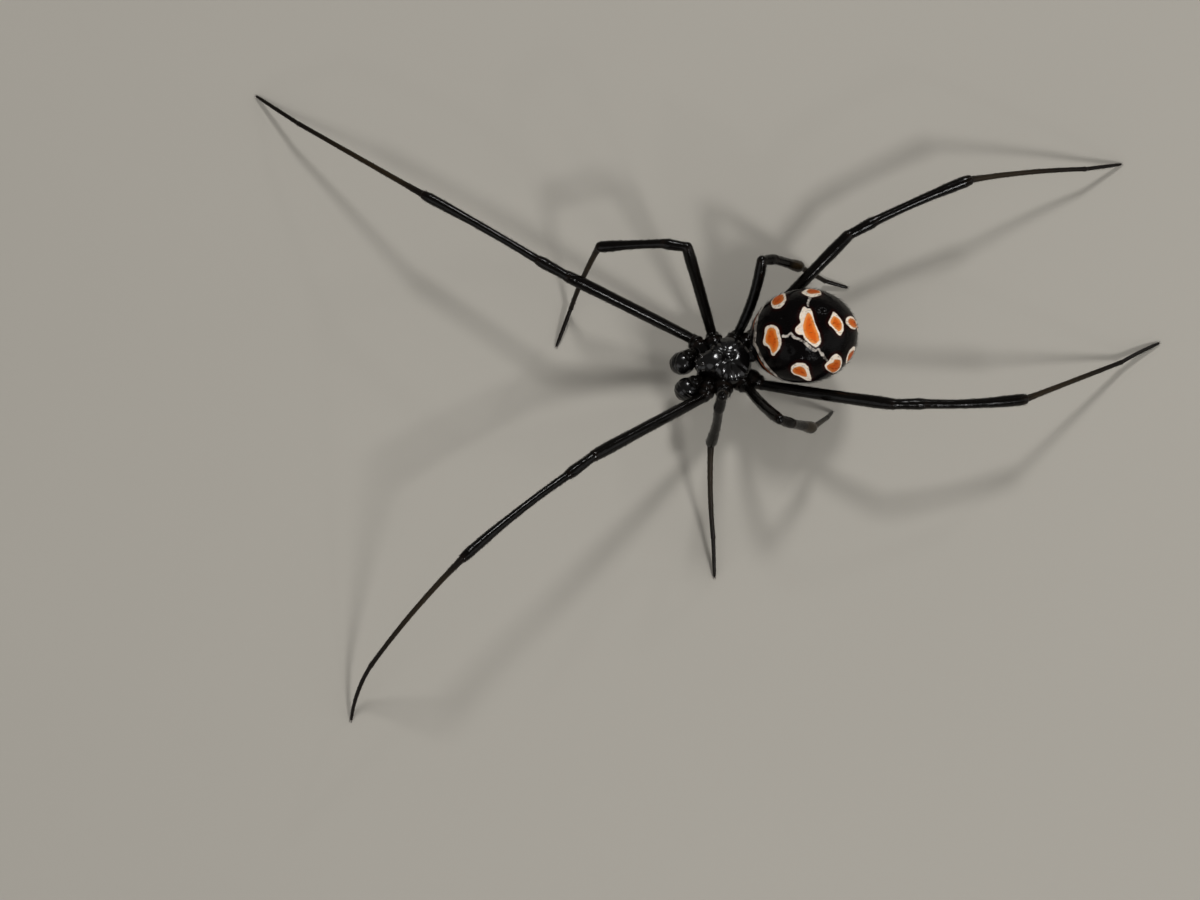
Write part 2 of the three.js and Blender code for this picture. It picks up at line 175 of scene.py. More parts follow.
# How the radius runs along each segment: share of the length, and share of the thickest radius.
PROFILES = {
    "coxa": ((0, 0.5), (0.35, 0.85), (0.8, 1.0), (1, 0.9)),
    "trochanter": ((0, 0.96), (0.45, 1.02), (1, 0.72)),
    "femur": ((0, 0.86), (0.06, 0.9), (0.3, 0.97), (0.6, 0.99), (0.88, 1.06), (0.95, 1.02), (1, 0.96)),
    "patella": ((0, 0.94), (0.2, 0.9), (0.55, 0.98), (0.8, 1.04), (1, 0.92)),
    "tibia": ((0, 1.0), (0.06, 0.94), (0.3, 0.9), (0.55, 0.96), (0.82, 1.14), (0.95, 1.18), (1, 1.02)),
    "metatarsus": ((0, 1.42), (0.05, 1.24), (0.16, 1.06), (0.5, 0.96), (0.95, 0.86), (1, 0.94)),
    "tarsus": ((0, 1.04), (0.08, 0.98), (0.5, 0.94), (0.85, 0.82), (1, 0.62)),
}

PALPS = {
    "left": {
        "stalk": ((0.4, -0.82, 1.82), (0.62, -1.12, 2.24), (0.74, -1.32, 2.28)),
        "bulb": (0.82, -1.64, 1.86),
    },
    "right": {
        "stalk": ((-0.4, -0.82, 1.82), (-0.58, -1.12, 2.24), (-0.46, -1.36, 2.28)),
        "bulb": (-0.36, -1.62, 1.92),
    },
}
PALP_KNUCKLE = 0.18
BULB_RADIUS = 0.49
BULB_LENGTH = 0.53
# Relief of the bulb: the coil's spacing in degrees over its face, and the cup from its edge backwards.
COIL = {"spacing": 21.0, "height": 0.009}
CUP = {"edge": 90, "height": 0.012}

# Markings of the abdomen. Angle is in degrees round the body from the top, positive to the left, and
# station runs from 0 at the waist to 1 at the tail. Each spot has stops of its outline, stops of its warm
# core, and how far its core is darkened by painted shade, most on the spots that face away from the light.
SPOTS = (
    (
        (
            (-14.6, 0.253), (-13.9, 0.288), (-9.4, 0.316), (-3.4, 0.335), (5.4, 0.337), (14, 0.339),
            (22.2, 0.327), (29.5, 0.302), (35.7, 0.275), (34.4, 0.258), (26.4, 0.255), (20, 0.236),
            (16.6, 0.21), (8.4, 0.207), (-1.8, 0.229), (-10.5, 0.239),
        ),
        (
            (-7.4, 0.266), (-7.8, 0.29), (-3.8, 0.308), (4.1, 0.312), (14.6, 0.316), (23.3, 0.303),
            (29.7, 0.278), (28, 0.266), (19.5, 0.26), (11.7, 0.234), (4.4, 0.236), (-1.8, 0.25),
        ),
        0.1,
    ),
    (
        (
            (-22.3, 0.497), (-25, 0.514), (-22.3, 0.529), (-20.7, 0.546), (-14.8, 0.552),
            (-6.7, 0.553), (1.2, 0.558), (10.2, 0.568), (19, 0.572), (24.9, 0.562), (27.7, 0.536),
            (24.4, 0.514), (20, 0.494), (15.8, 0.477), (10.7, 0.472), (9.4, 0.45), (5.6, 0.432),
            (0.7, 0.437), (-2.8, 0.461), (-5.5, 0.472), (-10.8, 0.471), (-17.1, 0.483),
        ),
        (
            (-14.7, 0.528), (-10.3, 0.539), (-3, 0.544), (5.9, 0.55), (13.6, 0.558), (19.7, 0.556),
            (22.9, 0.536), (20.1, 0.515), (14.6, 0.495), (7.5, 0.484), (1.4, 0.486), (-4.6, 0.495),
            (-10.6, 0.509),
        ),
        0.0,
    ),
    (
        (
            (-16.2, 0.685), (-14.9, 0.701), (-8.7, 0.722), (-2.1, 0.74), (4.7, 0.746), (14.4, 0.734),
            (20.2, 0.707), (17, 0.686), (9.1, 0.664), (3.1, 0.642), (-1.1, 0.638), (-5.8, 0.654),
            (-10.3, 0.668),
        ),
        (
            (-8.2, 0.687), (-5.2, 0.711), (1.2, 0.724), (7.6, 0.724), (12.6, 0.705), (9.4, 0.685),
            (3.5, 0.664), (-0.8, 0.656), (-5.1, 0.67),
        ),
        0.1,
    ),
    (
        (
            (-14.7, 0.815), (-22, 0.86), (-26, 0.905), (-12, 0.935), (8, 0.925), (17, 0.885),
            (16.1, 0.848), (11.6, 0.811), (3.1, 0.776), (-3.7, 0.776), (-10.7, 0.795),
        ),
        (
            (-9, 0.826), (-14, 0.87), (-14, 0.91), (3, 0.915), (11, 0.89), (9.8, 0.855), (5.1, 0.821),
            (-1.3, 0.804),
        ),
        0.45,
    ),
    (
        (
            (-58.7, 0.428), (-46.9, 0.423), (-38.9, 0.406), (-34.3, 0.379), (-35.8, 0.351),
            (-43, 0.329), (-60, 0.333), (-72, 0.365), (-75, 0.405), (-68, 0.43),
        ),
        (
            (-62.3, 0.411), (-48.9, 0.404), (-43.3, 0.377), (-46.3, 0.346), (-58, 0.342), (-71, 0.37),
            (-72, 0.401),
        ),
        0.5,
    ),
    (
        (
            (-54.1, 0.522), (-62, 0.545), (-72, 0.585), (-68, 0.63), (-54.9, 0.641), (-46.1, 0.626),
            (-41.2, 0.586), (-41.3, 0.562), (-46.4, 0.536),
        ),
        ((-55.5, 0.558), (-68, 0.585), (-65, 0.623), (-55.3, 0.628), (-50.5, 0.594), (-50.1, 0.569)),
        0.6,
    ),
    (
        (
            (46.4, 0.414), (46.9, 0.454), (52.5, 0.476), (60.4, 0.482), (76.1, 0.491), (83.9, 0.488),
            (82.8, 0.467), (76, 0.443), (71, 0.42), (67.1, 0.39), (60.3, 0.374), (52.8, 0.379),
        ),
        (
            (52.5, 0.429), (56.1, 0.451), (63.6, 0.461), (71.1, 0.46), (67.9, 0.431), (65.9, 0.408),
            (61.8, 0.388), (57, 0.392), (53.8, 0.411),
        ),
        0.45,
    ),
    (
        (
            (44.8, 0.656), (51.4, 0.683), (61.4, 0.695), (73.5, 0.691), (84, 0.68), (86, 0.643),
            (78, 0.621), (68, 0.594), (59, 0.576), (54.2, 0.581), (50.5, 0.605), (45.8, 0.624),
        ),
        (
            (59.7, 0.592), (56.9, 0.609), (57.8, 0.633), (53.8, 0.645), (59, 0.675), (66.5, 0.68),
            (78, 0.67), (80, 0.637), (68.8, 0.607),
        ),
        0.55,
    ),
    (
        (
            (55, 0.775), (58, 0.815), (72, 0.845), (92, 0.84), (100, 0.79), (92, 0.745), (76, 0.73),
            (61, 0.745),
        ),
        ((65, 0.785), (73, 0.815), (90, 0.812), (92, 0.775), (82, 0.752), (67, 0.757)),
        0.7,
    ),
    (
        (
            (-84, 0.76), (-86, 0.8), (-98, 0.825), (-112, 0.81), (-116, 0.775), (-108, 0.74),
            (-92, 0.735),
        ),
        ((-91, 0.77), (-93, 0.795), (-102, 0.802), (-108, 0.785), (-105, 0.762), (-96, 0.755)),
        0.6,
    ),
    (
        ((8, 0.985), (40, 0.965), (42, 0.935), (8, 0.92), (-26, 0.935), (-24, 0.965)),
        ((8, 0.97), (24, 0.96), (22, 0.942), (8, 0.934), (-6, 0.942), (-8, 0.96)),
        0.4,
    ),
)
# Ovals under the belly, each with its two half sizes.
BELLY_MARKS = ((182, 0.47, 0.5, 0.13), (182, 0.62, 0.4, 0.13))
# The pale edge across the front of the abdomen and the rusty line below it. The stops are angles from the
# midline and stations, and the tapers are shares of the line at its start and end.
MIDLINE = 7
FRONT_EDGE = {
    "half": 0.11,
    "tapers": (0.0, 0.3),
    "stops": (
        (0, 0.1), (15, 0.124), (30, 0.15), (46, 0.172), (59, 0.2), (68, 0.23), (79, 0.27), (94, 0.32),
        (106, 0.36),
    ),
}
RUSTY_EDGE = {
    "half": 0.06,
    "tapers": (0.35, 0.35),
    "stops": ((44, 0.122), (58, 0.15), (68, 0.178), (79, 0.216), (90, 0.258), (102, 0.3)),
}
# Each streak's stops and its half width.
STREAKS = (
    (
        (
            (8, 0.357), (9.4, 0.381), (6.3, 0.402), (10.6, 0.413), (14.4, 0.44), (17.9, 0.466),
            (26.4, 0.501), (31.8, 0.527), (31.5, 0.551), (38.2, 0.566), (49.4, 0.592),
        ),
        0.05,
    ),
    (((-41, 0.562), (-38.2, 0.559), (-31.9, 0.544), (-25.5, 0.535)), 0.05),
)

# Dimples where the muscles of the abdomen hold: angle, station, width and depth.
DIMPLES = (
    (-17, 0.375, 0.09, 0.04),
    (29, 0.385, 0.09, 0.04),
    (-17, 0.619, 0.07, 0.04),
    (38.5, 0.453, 0.07, 0.04),
    (-8, 0.78, 0.06, 0.02),
    (22, 0.78, 0.06, 0.02),
)
BELLY_FOLD = {"stops": ((150, 0.27), (180, 0.29), (210, 0.27)), "width": 0.06, "depth": 0.05}
# Tints that the colours of the markings are blended with. The dark red-brown one is painted shade on spot
# cores.
TINTS = {
    "halo": "2a0402", "core edge": "fca04c", "dusk": "8c3a1c", "mottle": "a03a06", "margin": "f8eee2",
    "pale line": "6a635c", "rusty line": "a4562c",
}

# Bristles of each skin: shares of the set density and of the set length, how far they stand up, and the slot.
LEG_BRISTLES = {"upper": (1, 1, 0.5, "limb"), "lower": (1, 0.8, 0.5, "shin")}
BODY_BRISTLES = {
    "abdomen": (1, 1, 0.8, "hide"),
    "carapace": (0.35, 0.6, 0.5, "shell"),
    "sternum": (1, 0.8, 0.8, "shell"),
    "spinnerets": (2, 0.6, 0.6, "hide"),
}
SIDE_BRISTLES = {
    "chelicera": (1.5, 0.6, 0.7, "shell"),
    "palp": (1.5, 0.9, 0.8, "limb"),
    "palp_bulb": (1.2, 0.8, 0.7, "hide"),
}
FIRST_SEED = 12
BRISTLE_CLEARANCE = 0.000002
BRISTLE_STRAY = 0.22
BRISTLE_SIZES = (0.55, 1.15)

# Where the camera stands, as the view's own azimuth and elevation, and the point it looks at.
VIEW_AZIMUTH = 74
VIEW_ELEVATION = 78
VIEW_TARGET = Vector((2.015, -5.870, 1.442))
VIEW_DISTANCE = 141.78
VIEW_ANGLE = 20
SENSOR_WIDTH = 36.0

# Metres, as the stage is. Each group of lamps has the setting of its power, a size, a distance from the
# target, and for every lamp a name, a heading from +X towards +Y and a height above the horizon.
LAMP_TARGET = Vector((0.0, 0.0, 0.003))
LAMPS = (
    ("key_power", 0.05, 0.3, (("Key", 157, 50), ("Second key", 17, 46))),
    ("glint_power", 0.014, 0.3, (("Glint", 130, 28), ("Far glint", 9, 25))),
    ("fill_power", 0.3, 0.4, (("Fill", -60, 30), ("Back fill", 60, 28))),
)
FLOOR_HALF = 1.5
SKY_COLOUR = (1.0, 0.985, 0.96, 1)


def rgb(code):
    """A colour in linear light from its six-figure web code."""
    parts = [int(code[i:i + 2], 16) / 255 for i in (0, 2, 4)]
    return tuple(part / 12.92 if part <= 0.04045 else ((part + 0.055) / 1.055) ** 2.4 for part in parts)


FRONT_BODY = (
    Matrix.Translation(WAIST_MOVED_TO)
    @ Matrix.Rotation(math.radians(FRONT_TURN), 4, "Z")
    @ Matrix.Rotation(math.radians(FRONT_ROLL), 4, "Y")
    @ Matrix.Translation(-WAIST)
)
HIND_BODY = (
    Matrix.Translation((*ABDOMEN["waist"], 0))
    @ Matrix.Rotation(math.radians(ABDOMEN["turn"]), 4, "Z")
)


def corner_shift():
    """From the spider's own frame to the model's, read off the solid of a palp bulb."""
    low, high = (Vector(corner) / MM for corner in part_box("palp_bulb_left"))
    step = (low + high) / 2 - FRONT_BODY @ Vector(PALPS["left"]["bulb"])
    return np.array([step.x, step.y, 0.0])


SHIFT = corner_shift()


# Settings that a user would change


def colour_property(name, description, code):
    return FloatVectorProperty(
        name=name, description=description, subtype="COLOR", size=3, min=0.0, max=1.0, default=rgb(code)
    )


def length_property(name, description, millimetres):
    return FloatProperty(
        name=name, description=description, unit="LENGTH", min=0.0, default=millimetres * MM
    )


def power_property(name, description, watts):
    return FloatProperty(name=name, description=description, min=0.0, default=watts)


def density_property(name, description, bristles):
    return IntProperty(name=name, description=description, min=0, default=bristles)


class SpiderCuticle(bpy.types.PropertyGroup):
    """Colours and texture of the black cuticle"""

    shell: colour_property("Shell", "Black of the carapace, sternum and jaws", "060607")
    limb: colour_property("Leg", "Black of the femora, patellae and tibiae", "060504")
    shin: colour_property("Outer leg", "Brown-black of the metatarsi and tarsi", "120c07")
    joint: colour_property("Joint", "Softer skin between two leg segments", "140d09")
    hide: colour_property("Hide", "Black of the abdomen between its markings", "080606")
    grain: length_property("Grain", "Height of the fine bumps in the cuticle", 0.0016)
    waviness: length_property("Waviness", "Height of the unevenness that breaks up reflections", 0.022)


class SpiderMarkings(bpy.types.PropertyGroup):
    """Colours of the abdomen's markings"""

    core: colour_property("Spot core", "Orange-red middle of a spot", "ee6c1a")
    rim: colour_property("Spot margin", "Cream margin of a spot", "f8dcb8")
    streak: colour_property("Streaks", "Pale streaks between the spots and across the front", "cfc6bb")
    belly: colour_property("Belly marks", "Red bars under the abdomen", "b8240c")
    raggedness: length_property("Raggedness", "How far a marking's outline wanders", 0.07)


class SpiderBristles(bpy.types.PropertyGroup):
    """Size and number of the fine bristles"""

    leg_length: length_property("Leg bristles", "Length of a bristle on a leg", 0.17)
    body_length: length_property("Body bristles", "Length of a bristle on the abdomen", 0.2)
    leg_density: density_property("Leg density", "Bristles on a square millimetre of leg", 55)
    body_density: density_property("Body density", "Bristles on a square millimetre of the body", 38)


class SpiderStage(bpy.types.PropertyGroup):
    """Floor and light"""

    floor: colour_property("Floor", "Colour of the floor", "b9b4aa")
    key_power: power_property("Key lamps", "Watts of each key lamp", 0.3)
    glint_power: power_property("Glint lamps", "Watts of each tiny lamp", 0.03)
    fill_power: power_property("Fill lamps", "Watts of each large soft lamp", 0.22)
    sky: power_property("Sky", "Strength of the light from all round", 0.14)


# Closed surfaces, as points in millimetres


def smooth(low, high, value):
    share = np.clip((value - low) / (high - low), 0, 1)
    return share * share * (3 - 2 * share)


def mix(start, end, share):
    return start + (end - start) * share


def unit(vectors):
    return vectors / np.maximum(np.linalg.norm(vectors, axis=-1, keepdims=True), 1e-12)


class Shell:
    """A closed surface of rings between two poles."""

    def __init__(self, points, rings, columns):
        self.points = np.asarray(points, float)
        index = 1 + np.arange(rings * columns).reshape(rings, columns)
        ahead = np.roll(index, -1, axis=1)
        self.quads = np.stack([index[:-1], ahead[:-1], ahead[1:], index[1:]], axis=-1).reshape(-1, 4)
        last = np.full(columns, rings * columns + 1)
        start = np.stack([np.zeros(columns, int), ahead[0], index[0]], axis=-1)
        end = np.stack([last, index[-1], ahead[-1]], axis=-1)
        self.triangles = np.concatenate([start, end])
        around = np.tile(np.arange(columns) / columns, rings)
        along = np.repeat((np.arange(rings) + 1) / (rings + 1), columns)
        self.around = np.concatenate([[0.5], around, [0.5]])
        self.along = np.concatenate([[0.0], along, [1.0]])
        if self.volume() < 0:
            self.quads = self.quads[:, ::-1]
            self.triangles = self.triangles[:, ::-1]

    def corners(self):
        quads = self.quads
        return np.concatenate([quads[:, [0, 1, 2]], quads[:, [0, 2, 3]], self.triangles])

    def volume(self):
        a, b, c = (self.points[self.corners()[:, i]] for i in range(3))
        return np.einsum("ij,ij->i", a, np.cross(b, c)).sum()

    def normals(self):
        corners = self.corners()
        a, b, c = (self.points[corners[:, i]] for i in range(3))
        face = np.cross(b - a, c - a)
        total = np.zeros_like(self.points)
        for i in range(3):
            np.add.at(total, corners[:, i], face)
        return unit(total)

    def raised(self, heights):
        self.points = self.points + self.normals() * np.asarray(heights)[:, None]
        return self

    def moved(self, matrix):
        turn = np.array(matrix)
        self.points = self.points @ turn[:3, :3].T + turn[:3, 3]
        return self

    def faces(self):
        return self.quads.tolist() + self.triangles.tolist()


def ball(columns, rings, place):
    """A shell whose points place(x, y, z) makes from those of a unit sphere with its poles on Y."""
    station = np.linspace(0, math.pi, rings + 2)[1:-1, None]
    turn = np.linspace(0, 2 * math.pi, columns, endpoint=False)[None, :]
    x = np.concatenate([[0], (np.sin(station) * np.sin(turn)).ravel(), [0]])
    y = np.concatenate([[-1], np.repeat(-np.cos(station), columns), [1]])
    z = np.concatenate([[0], (np.sin(station) * np.cos(turn)).ravel(), [0]])
    return Shell(np.stack(place(x, y, z), axis=-1), rings, columns)


def egg(middle, sizes, columns, rings):
    """A ball about its middle, stretched to three half sizes."""

    def place(x, y, z):
        return [centre + size * value for centre, size, value in zip(middle, sizes, (x, y, z))]

    return ball(columns, rings, place)


def tube(centres, radii, sides=20, over=(0, 0, 1), flat=1.0):
    """A shell of rings about centres, whose first and last are its poles, with no radius."""
    centres = np.asarray(centres, float)
    ahead = unit(np.gradient(centres, axis=0))
    across = unit(np.cross(ahead, np.asarray(over, float)))
    upward = np.cross(across, ahead)
    turn = np.linspace(0, 2 * math.pi, sides, endpoint=False)[None, :, None]
    ring = flat * np.cos(turn) * across[1:-1, None] + np.sin(turn) * upward[1:-1, None]
    rings = centres[1:-1, None] + np.asarray(radii, float)[1:-1, None, None] * ring
    points = np.concatenate([centres[:1], rings.reshape(-1, 3), centres[-1:]])
    return Shell(points, len(centres) - 2, sides)


def eased(table, shares):
    """Values along a table of (share, value) pairs, level at each pair."""
    stops = np.array(table, float)
    index = np.clip(np.searchsorted(stops[:, 0], shares, side="right") - 1, 0, len(stops) - 2)
    start, end = stops[index], stops[index + 1]
    step = (shares - start[:, 0]) / (end[:, 0] - start[:, 0])
    return mix(start[:, 1], end[:, 1], step * step * (3 - 2 * step))


def rounded_profile(length, radius, table, spacing, end_depth=0.6, cap_steps=5):
    """Distances along a bar and the radius at each, with a round start and a flatter end."""
    count = max(6, round(length / spacing))
    shares = np.linspace(0, 1, count + 1)
    body = radius * eased(table, shares)
    cap = np.linspace(0, math.pi / 2, cap_steps, endpoint=False)
    end = math.pi / 2 - cap[::-1]
    along = [-body[0] * np.cos(cap), shares * length, length + end_depth * body[-1] * np.sin(end)]
    radii = [body[0] * np.sin(cap), body, body[-1] * np.cos(end)]
    return np.concatenate(along), np.concatenate(radii)


def curved_spike(start, way, bend_to, length, radius, sides=6, steps=6, bend=0.5):
    """A tapering shell that leaves start along way and curves towards bend_to."""
    start, way, bend_to = (np.asarray(value, float) for value in (start, way, bend_to))
    shares = np.linspace(0, 1, steps + 2)
    centres = start + length * (shares[:, None] * way + bend * shares[:, None] ** 2 * bend_to)
    radii = radius * (1 - shares) ** 0.7
    return tube(centres, radii, sides, over=np.cross(way, bend_to) + np.array([0.01, 0.02, 0.03]))


def wander(points, scale, seed=0.0):
    """Smooth noise from -1 to 1 at each point."""
    shift = Vector((seed, seed * 1.7, seed * 0.6))
    return np.array([noise.noise(Vector(point) * scale + shift) for point in points])


# Pieces


def mesh_of(name, shells, scale=MM, shift=True):
    """One mesh of all the shells, with a map of each shell's own surface."""
    points, faces, around, along, count = [], [], [], [], 0
    for shell in shells:
        points.append(shell.points)
        faces += [[corner + count for corner in face] for face in shell.faces()]
        around.append(shell.around)
        along.append(shell.along)
        count += len(shell.points)
    points = (np.concatenate(points) + (SHIFT if shift else 0)) * scale
    mesh = bpy.data.meshes.new(name)
    mesh.from_pydata(points.tolist(), [], faces)
    write_map(mesh, np.concatenate(around), np.concatenate(along))
    mesh.validate()
    mesh.shade_smooth()
    return mesh


def write_map(mesh, around, along):
    """A UV map that unrolls the surface: shares of a turn across it, shares of its length up it."""
    corners = np.zeros(len(mesh.loops), int)
    mesh.loops.foreach_get("vertex_index", corners)
    u, v = around[corners], along[corners]
    starts = np.zeros(len(mesh.polygons), int)
    totals = np.zeros(len(mesh.polygons), int)
    mesh.polygons.foreach_get("loop_start", starts)
    mesh.polygons.foreach_get("loop_total", totals)
    face_of = np.repeat(np.arange(len(starts)), totals)
    widest = np.maximum.reduceat(u, starts)
    narrowest = np.minimum.reduceat(u, starts)
    crossing = (widest - narrowest > 0.5)[face_of] & (u < 0.5)
    u = np.where(crossing, u + 1, u)
    layer = mesh.uv_layers.new(name="skin_map")
    layer.data.foreach_set("uv", (np.stack([u, v], axis=-1) * 0.9 + 0.02).ravel())


def write_value(mesh, name, values):
    attribute = mesh.attributes.new(name, "FLOAT", "POINT")
    attribute.data.foreach_set("value", np.asarray(values, float))


def write_vector(mesh, name, vectors):
    attribute = mesh.attributes.new(name, "FLOAT_VECTOR", "POINT")
    attribute.data.foreach_set("vector", np.asarray(vectors, float).ravel())


def add_piece(mesh, material, stands_for=()):
    """Puts a finished mesh in the scene as a piece that moves with the whole model."""
    piece = bpy.data.objects.new(mesh.name, mesh)
    bpy.context.scene.collection.objects.link(piece)
    mesh.materials.clear()
    mesh.materials.append(material)
    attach(piece, "root")
    if stands_for:
        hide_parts(*stands_for)
    return piece


def fused(name, shells):
    """One mesh, still in millimetres, of shells that run into each other."""
    carriers = []
    for i, shell in enumerate(shells):
        mesh = mesh_of(f"{name} {i}", [shell], scale=1.0, shift=False)
        carriers.append(bpy.data.objects.new(mesh.name, mesh))
    group = bpy.data.collections.new(name + " parts")
    bpy.context.scene.collection.children.link(group)
    bpy.context.scene.collection.objects.link(carriers[0])
    for carrier in carriers[1:]:
        group.objects.link(carrier)
    join = carriers[0].modifiers.new("Join", "BOOLEAN")
    join.operation = "UNION"
    join.operand_type = "COLLECTION"
    join.collection = group
    join.solver = "MANIFOLD"
    seen = carriers[0].evaluated_get(bpy.context.evaluated_depsgraph_get())
    mesh = bpy.data.meshes.new_from_object(seen)
    if len(mesh.vertices) <= len(shells[0].points):
        raise RuntimeError(f"the shells of {name} did not join")
    for carrier in carriers:
        data = carrier.data
        bpy.data.objects.remove(carrier)
        bpy.data.meshes.remove(data)
    bpy.data.collections.remove(group)
    mesh.name = name
    for layer in list(mesh.uv_layers):
        mesh.uv_layers.remove(layer)
    mesh.shade_smooth()
    return mesh


def points_of(mesh):
    flat = np.zeros(len(mesh.vertices) * 3)
    mesh.vertices.foreach_get("co", flat)
    return flat.reshape(-1, 3)


def set_points(mesh, points):
    mesh.vertices.foreach_set("co", np.asarray(points, float).ravel())
    mesh.update()


# Shapes of the body


def carapace_place(x, y, z):
    along = (y + 1) / 2
    ring = np.maximum(np.hypot(x, z), 1e-9)
    blunt = np.sqrt(np.clip(1 - np.abs(y) ** 3.4, 0, None))
    half = blunt * mix(CARAPACE["head_half"], CARAPACE["thorax_half"], smooth(0.18, 0.6, along))
    height = blunt * mix(CARAPACE["head_height"], CARAPACE["thorax_height"], smooth(0.3, 0.75, along))
    px = half * x / ring
    py = mix(CARAPACE["front"], CARAPACE["back"], along)
    under = CARAPACE["rim_thickness"] * (z / ring) * np.minimum(1, blunt * 1.5)
    rise = np.where(z > 0, height * z / ring, under)
    pit_x, pit_y = px / CARAPACE["pit_width"], (py - CARAPACE["pit_y"]) / CARAPACE["pit_length"]
    pit = np.exp(-(pit_x**2) - pit_y**2)
    return px, py, CARAPACE["rim"] + rise - np.where(z > 0, CARAPACE["pit_depth"] * pit, 0)


def eye_point(spot, side):
    station, angle = spot
    turn = math.radians(angle)
    y = station * 2 - 1
    place = carapace_place(np.array([side * math.cos(turn)]), np.array([y]), np.array([math.sin(turn)]))
    return np.array([value[0] for value in place])


def groove(points, start, end, width, depth):
    """A soft furrow of that depth along a line seen from above."""
    start, end = np.array(start, float), np.array(end, float)
    line = end - start
    share = np.clip((points[:, :2] - start) @ line / (line @ line), 0, 1)
    away = np.linalg.norm(points[:, :2] - start - share[:, None] * line, axis=1)
    return -depth * np.exp(-((away / width) ** 2))


def carapace_shell():
    shell = ball(200, 150, carapace_place)
    points = shell.points
    top = smooth(CARAPACE["rim"] + 0.02, CARAPACE["rim"] + 0.2, points[:, 2])
    height = np.zeros(len(points))
    for side in SIDES.values():
        start, end = ((side * x, y) for x, y in (HEAD_FURROW["start"], HEAD_FURROW["end"]))
        height += groove(points, start, end, FURROW_WIDTH, HEAD_FURROW["depth"])
        for reach_x, reach_y in THORAX_FURROWS["ends"]:
            start = (side * THORAX_FURROWS["start_x"], 0.26 + 0.2 * reach_y)
            height += groove(points, start, (side * reach_x, reach_y), FURROW_WIDTH, THORAX_FURROWS["depth"])
        for spot in EYES.values():
            away = np.linalg.norm(points - eye_point(spot, side), axis=1)
            height += EYE_MOUND["height"] * np.exp(-((away / EYE_MOUND["width"]) ** 2))
    start = (0, CARAPACE["pit_y"] - MIDDLE_FURROW["before"])
    end = (0, CARAPACE["pit_y"] + MIDDLE_FURROW["behind"])
    height += groove(points, start, end, MIDDLE_FURROW["width"], MIDDLE_FURROW["depth"])
    height = height * top + 0.022 * wander(points, 1.7, 3.0) * top
    edge = np.exp(-(((points[:, 2] - CARAPACE["rim"]) / 0.05) ** 2))
    return shell.raised(height + 0.02 * edge).moved(FRONT_BODY)


def sternum_place(x, y, z):
    along = (y + 1) / 2
    ring = np.maximum(np.hypot(x, z), 1e-9)
    blunt = np.sqrt(np.clip(1 - np.abs(y) ** 3, 0, None))
    narrowing = mix(STERNUM["half"], STERNUM["tail_half"], smooth(0.45, 1, along))
    reach = narrowing * mix(0.72, 1, smooth(0, 0.4, along))
    side = np.sign(x) * np.abs(x / ring) ** 0.75
    lift = np.sign(z) * np.abs(z / ring) ** 0.6
    middle = (STERNUM["top"] + STERNUM["bottom"]) / 2
    half = (STERNUM["top"] - STERNUM["bottom"]) / 2
    return blunt * reach * side, mix(STERNUM["front"], STERNUM["back"], along), middle + blunt * half * lift


def abdomen_place(x, y, z):
    girth = 1 - ABDOMEN["egg"] * y * np.sqrt(np.clip(1 - y * y, 0, None))
    middle = (ABDOMEN["top"] + ABDOMEN["bottom"]) / 2
    half = (ABDOMEN["top"] - ABDOMEN["bottom"]) / 2
    px, py = ABDOMEN["half"] * x * girth, ABDOMEN["length"] * (y + 1) / 2
    turn = math.radians(ABDOMEN["turn"])
    left, back = ABDOMEN["waist"]
    return (
        left + px * math.cos(turn) - py * math.sin(turn),
        back + px * math.sin(turn) + py * math.cos(turn),
        middle + half * z * girth - ABDOMEN["sag"] * y * (1 - y * y),
    )


def on_abdomen(angle, station):
    """The point of the abdomen's surface at an angle and a station, and the ways left and to the tail."""

    def at(degrees, share):
        turn, way = math.radians(degrees), math.pi * share
        round_x, round_z = math.sin(way) * math.sin(turn), math.sin(way) * math.cos(turn)
        return np.array([float(value) for value in abdomen_place(round_x, -math.cos(way), round_z)])

    step = 0.001
    point = at(angle, station)
    left = unit(at(angle + 0.1, station) - at(angle - 0.1, station))
    tail = at(angle, station + step) - at(angle, station - step)
    tail = unit(tail - left * (tail @ left))
    return point, left, tail


def oval_distance(points, row):
    """Distance in millimetres outside an oval marking, negative inside it."""
    angle, station, first, second = row
    point, left, tail = on_abdomen(angle, station)
    off = points - point
    outward = unit(np.cross(left, tail))
    flat = np.hypot(off @ left / first, off @ tail / second)
    depth = np.maximum(np.abs(off @ outward) - 0.35, 0)
    return (flat - 1) * min(first, second) * 0.85 + depth * 3


def closed_curve(stops, steps=5):
    """A smooth closed curve through flat points."""
    before, after, beyond = (np.roll(stops, turn, axis=0) for turn in (1, -1, -2))
    share = np.arange(steps)[:, None, None] / steps
    bend = 2 * before - 5 * stops + 4 * after - beyond
    twist = 3 * stops - before - 3 * after + beyond
    curve = stops + ((after - before) * share + bend * share**2 + twist * share**3) / 2
    return curve.transpose(1, 0, 2).reshape(-1, 2)


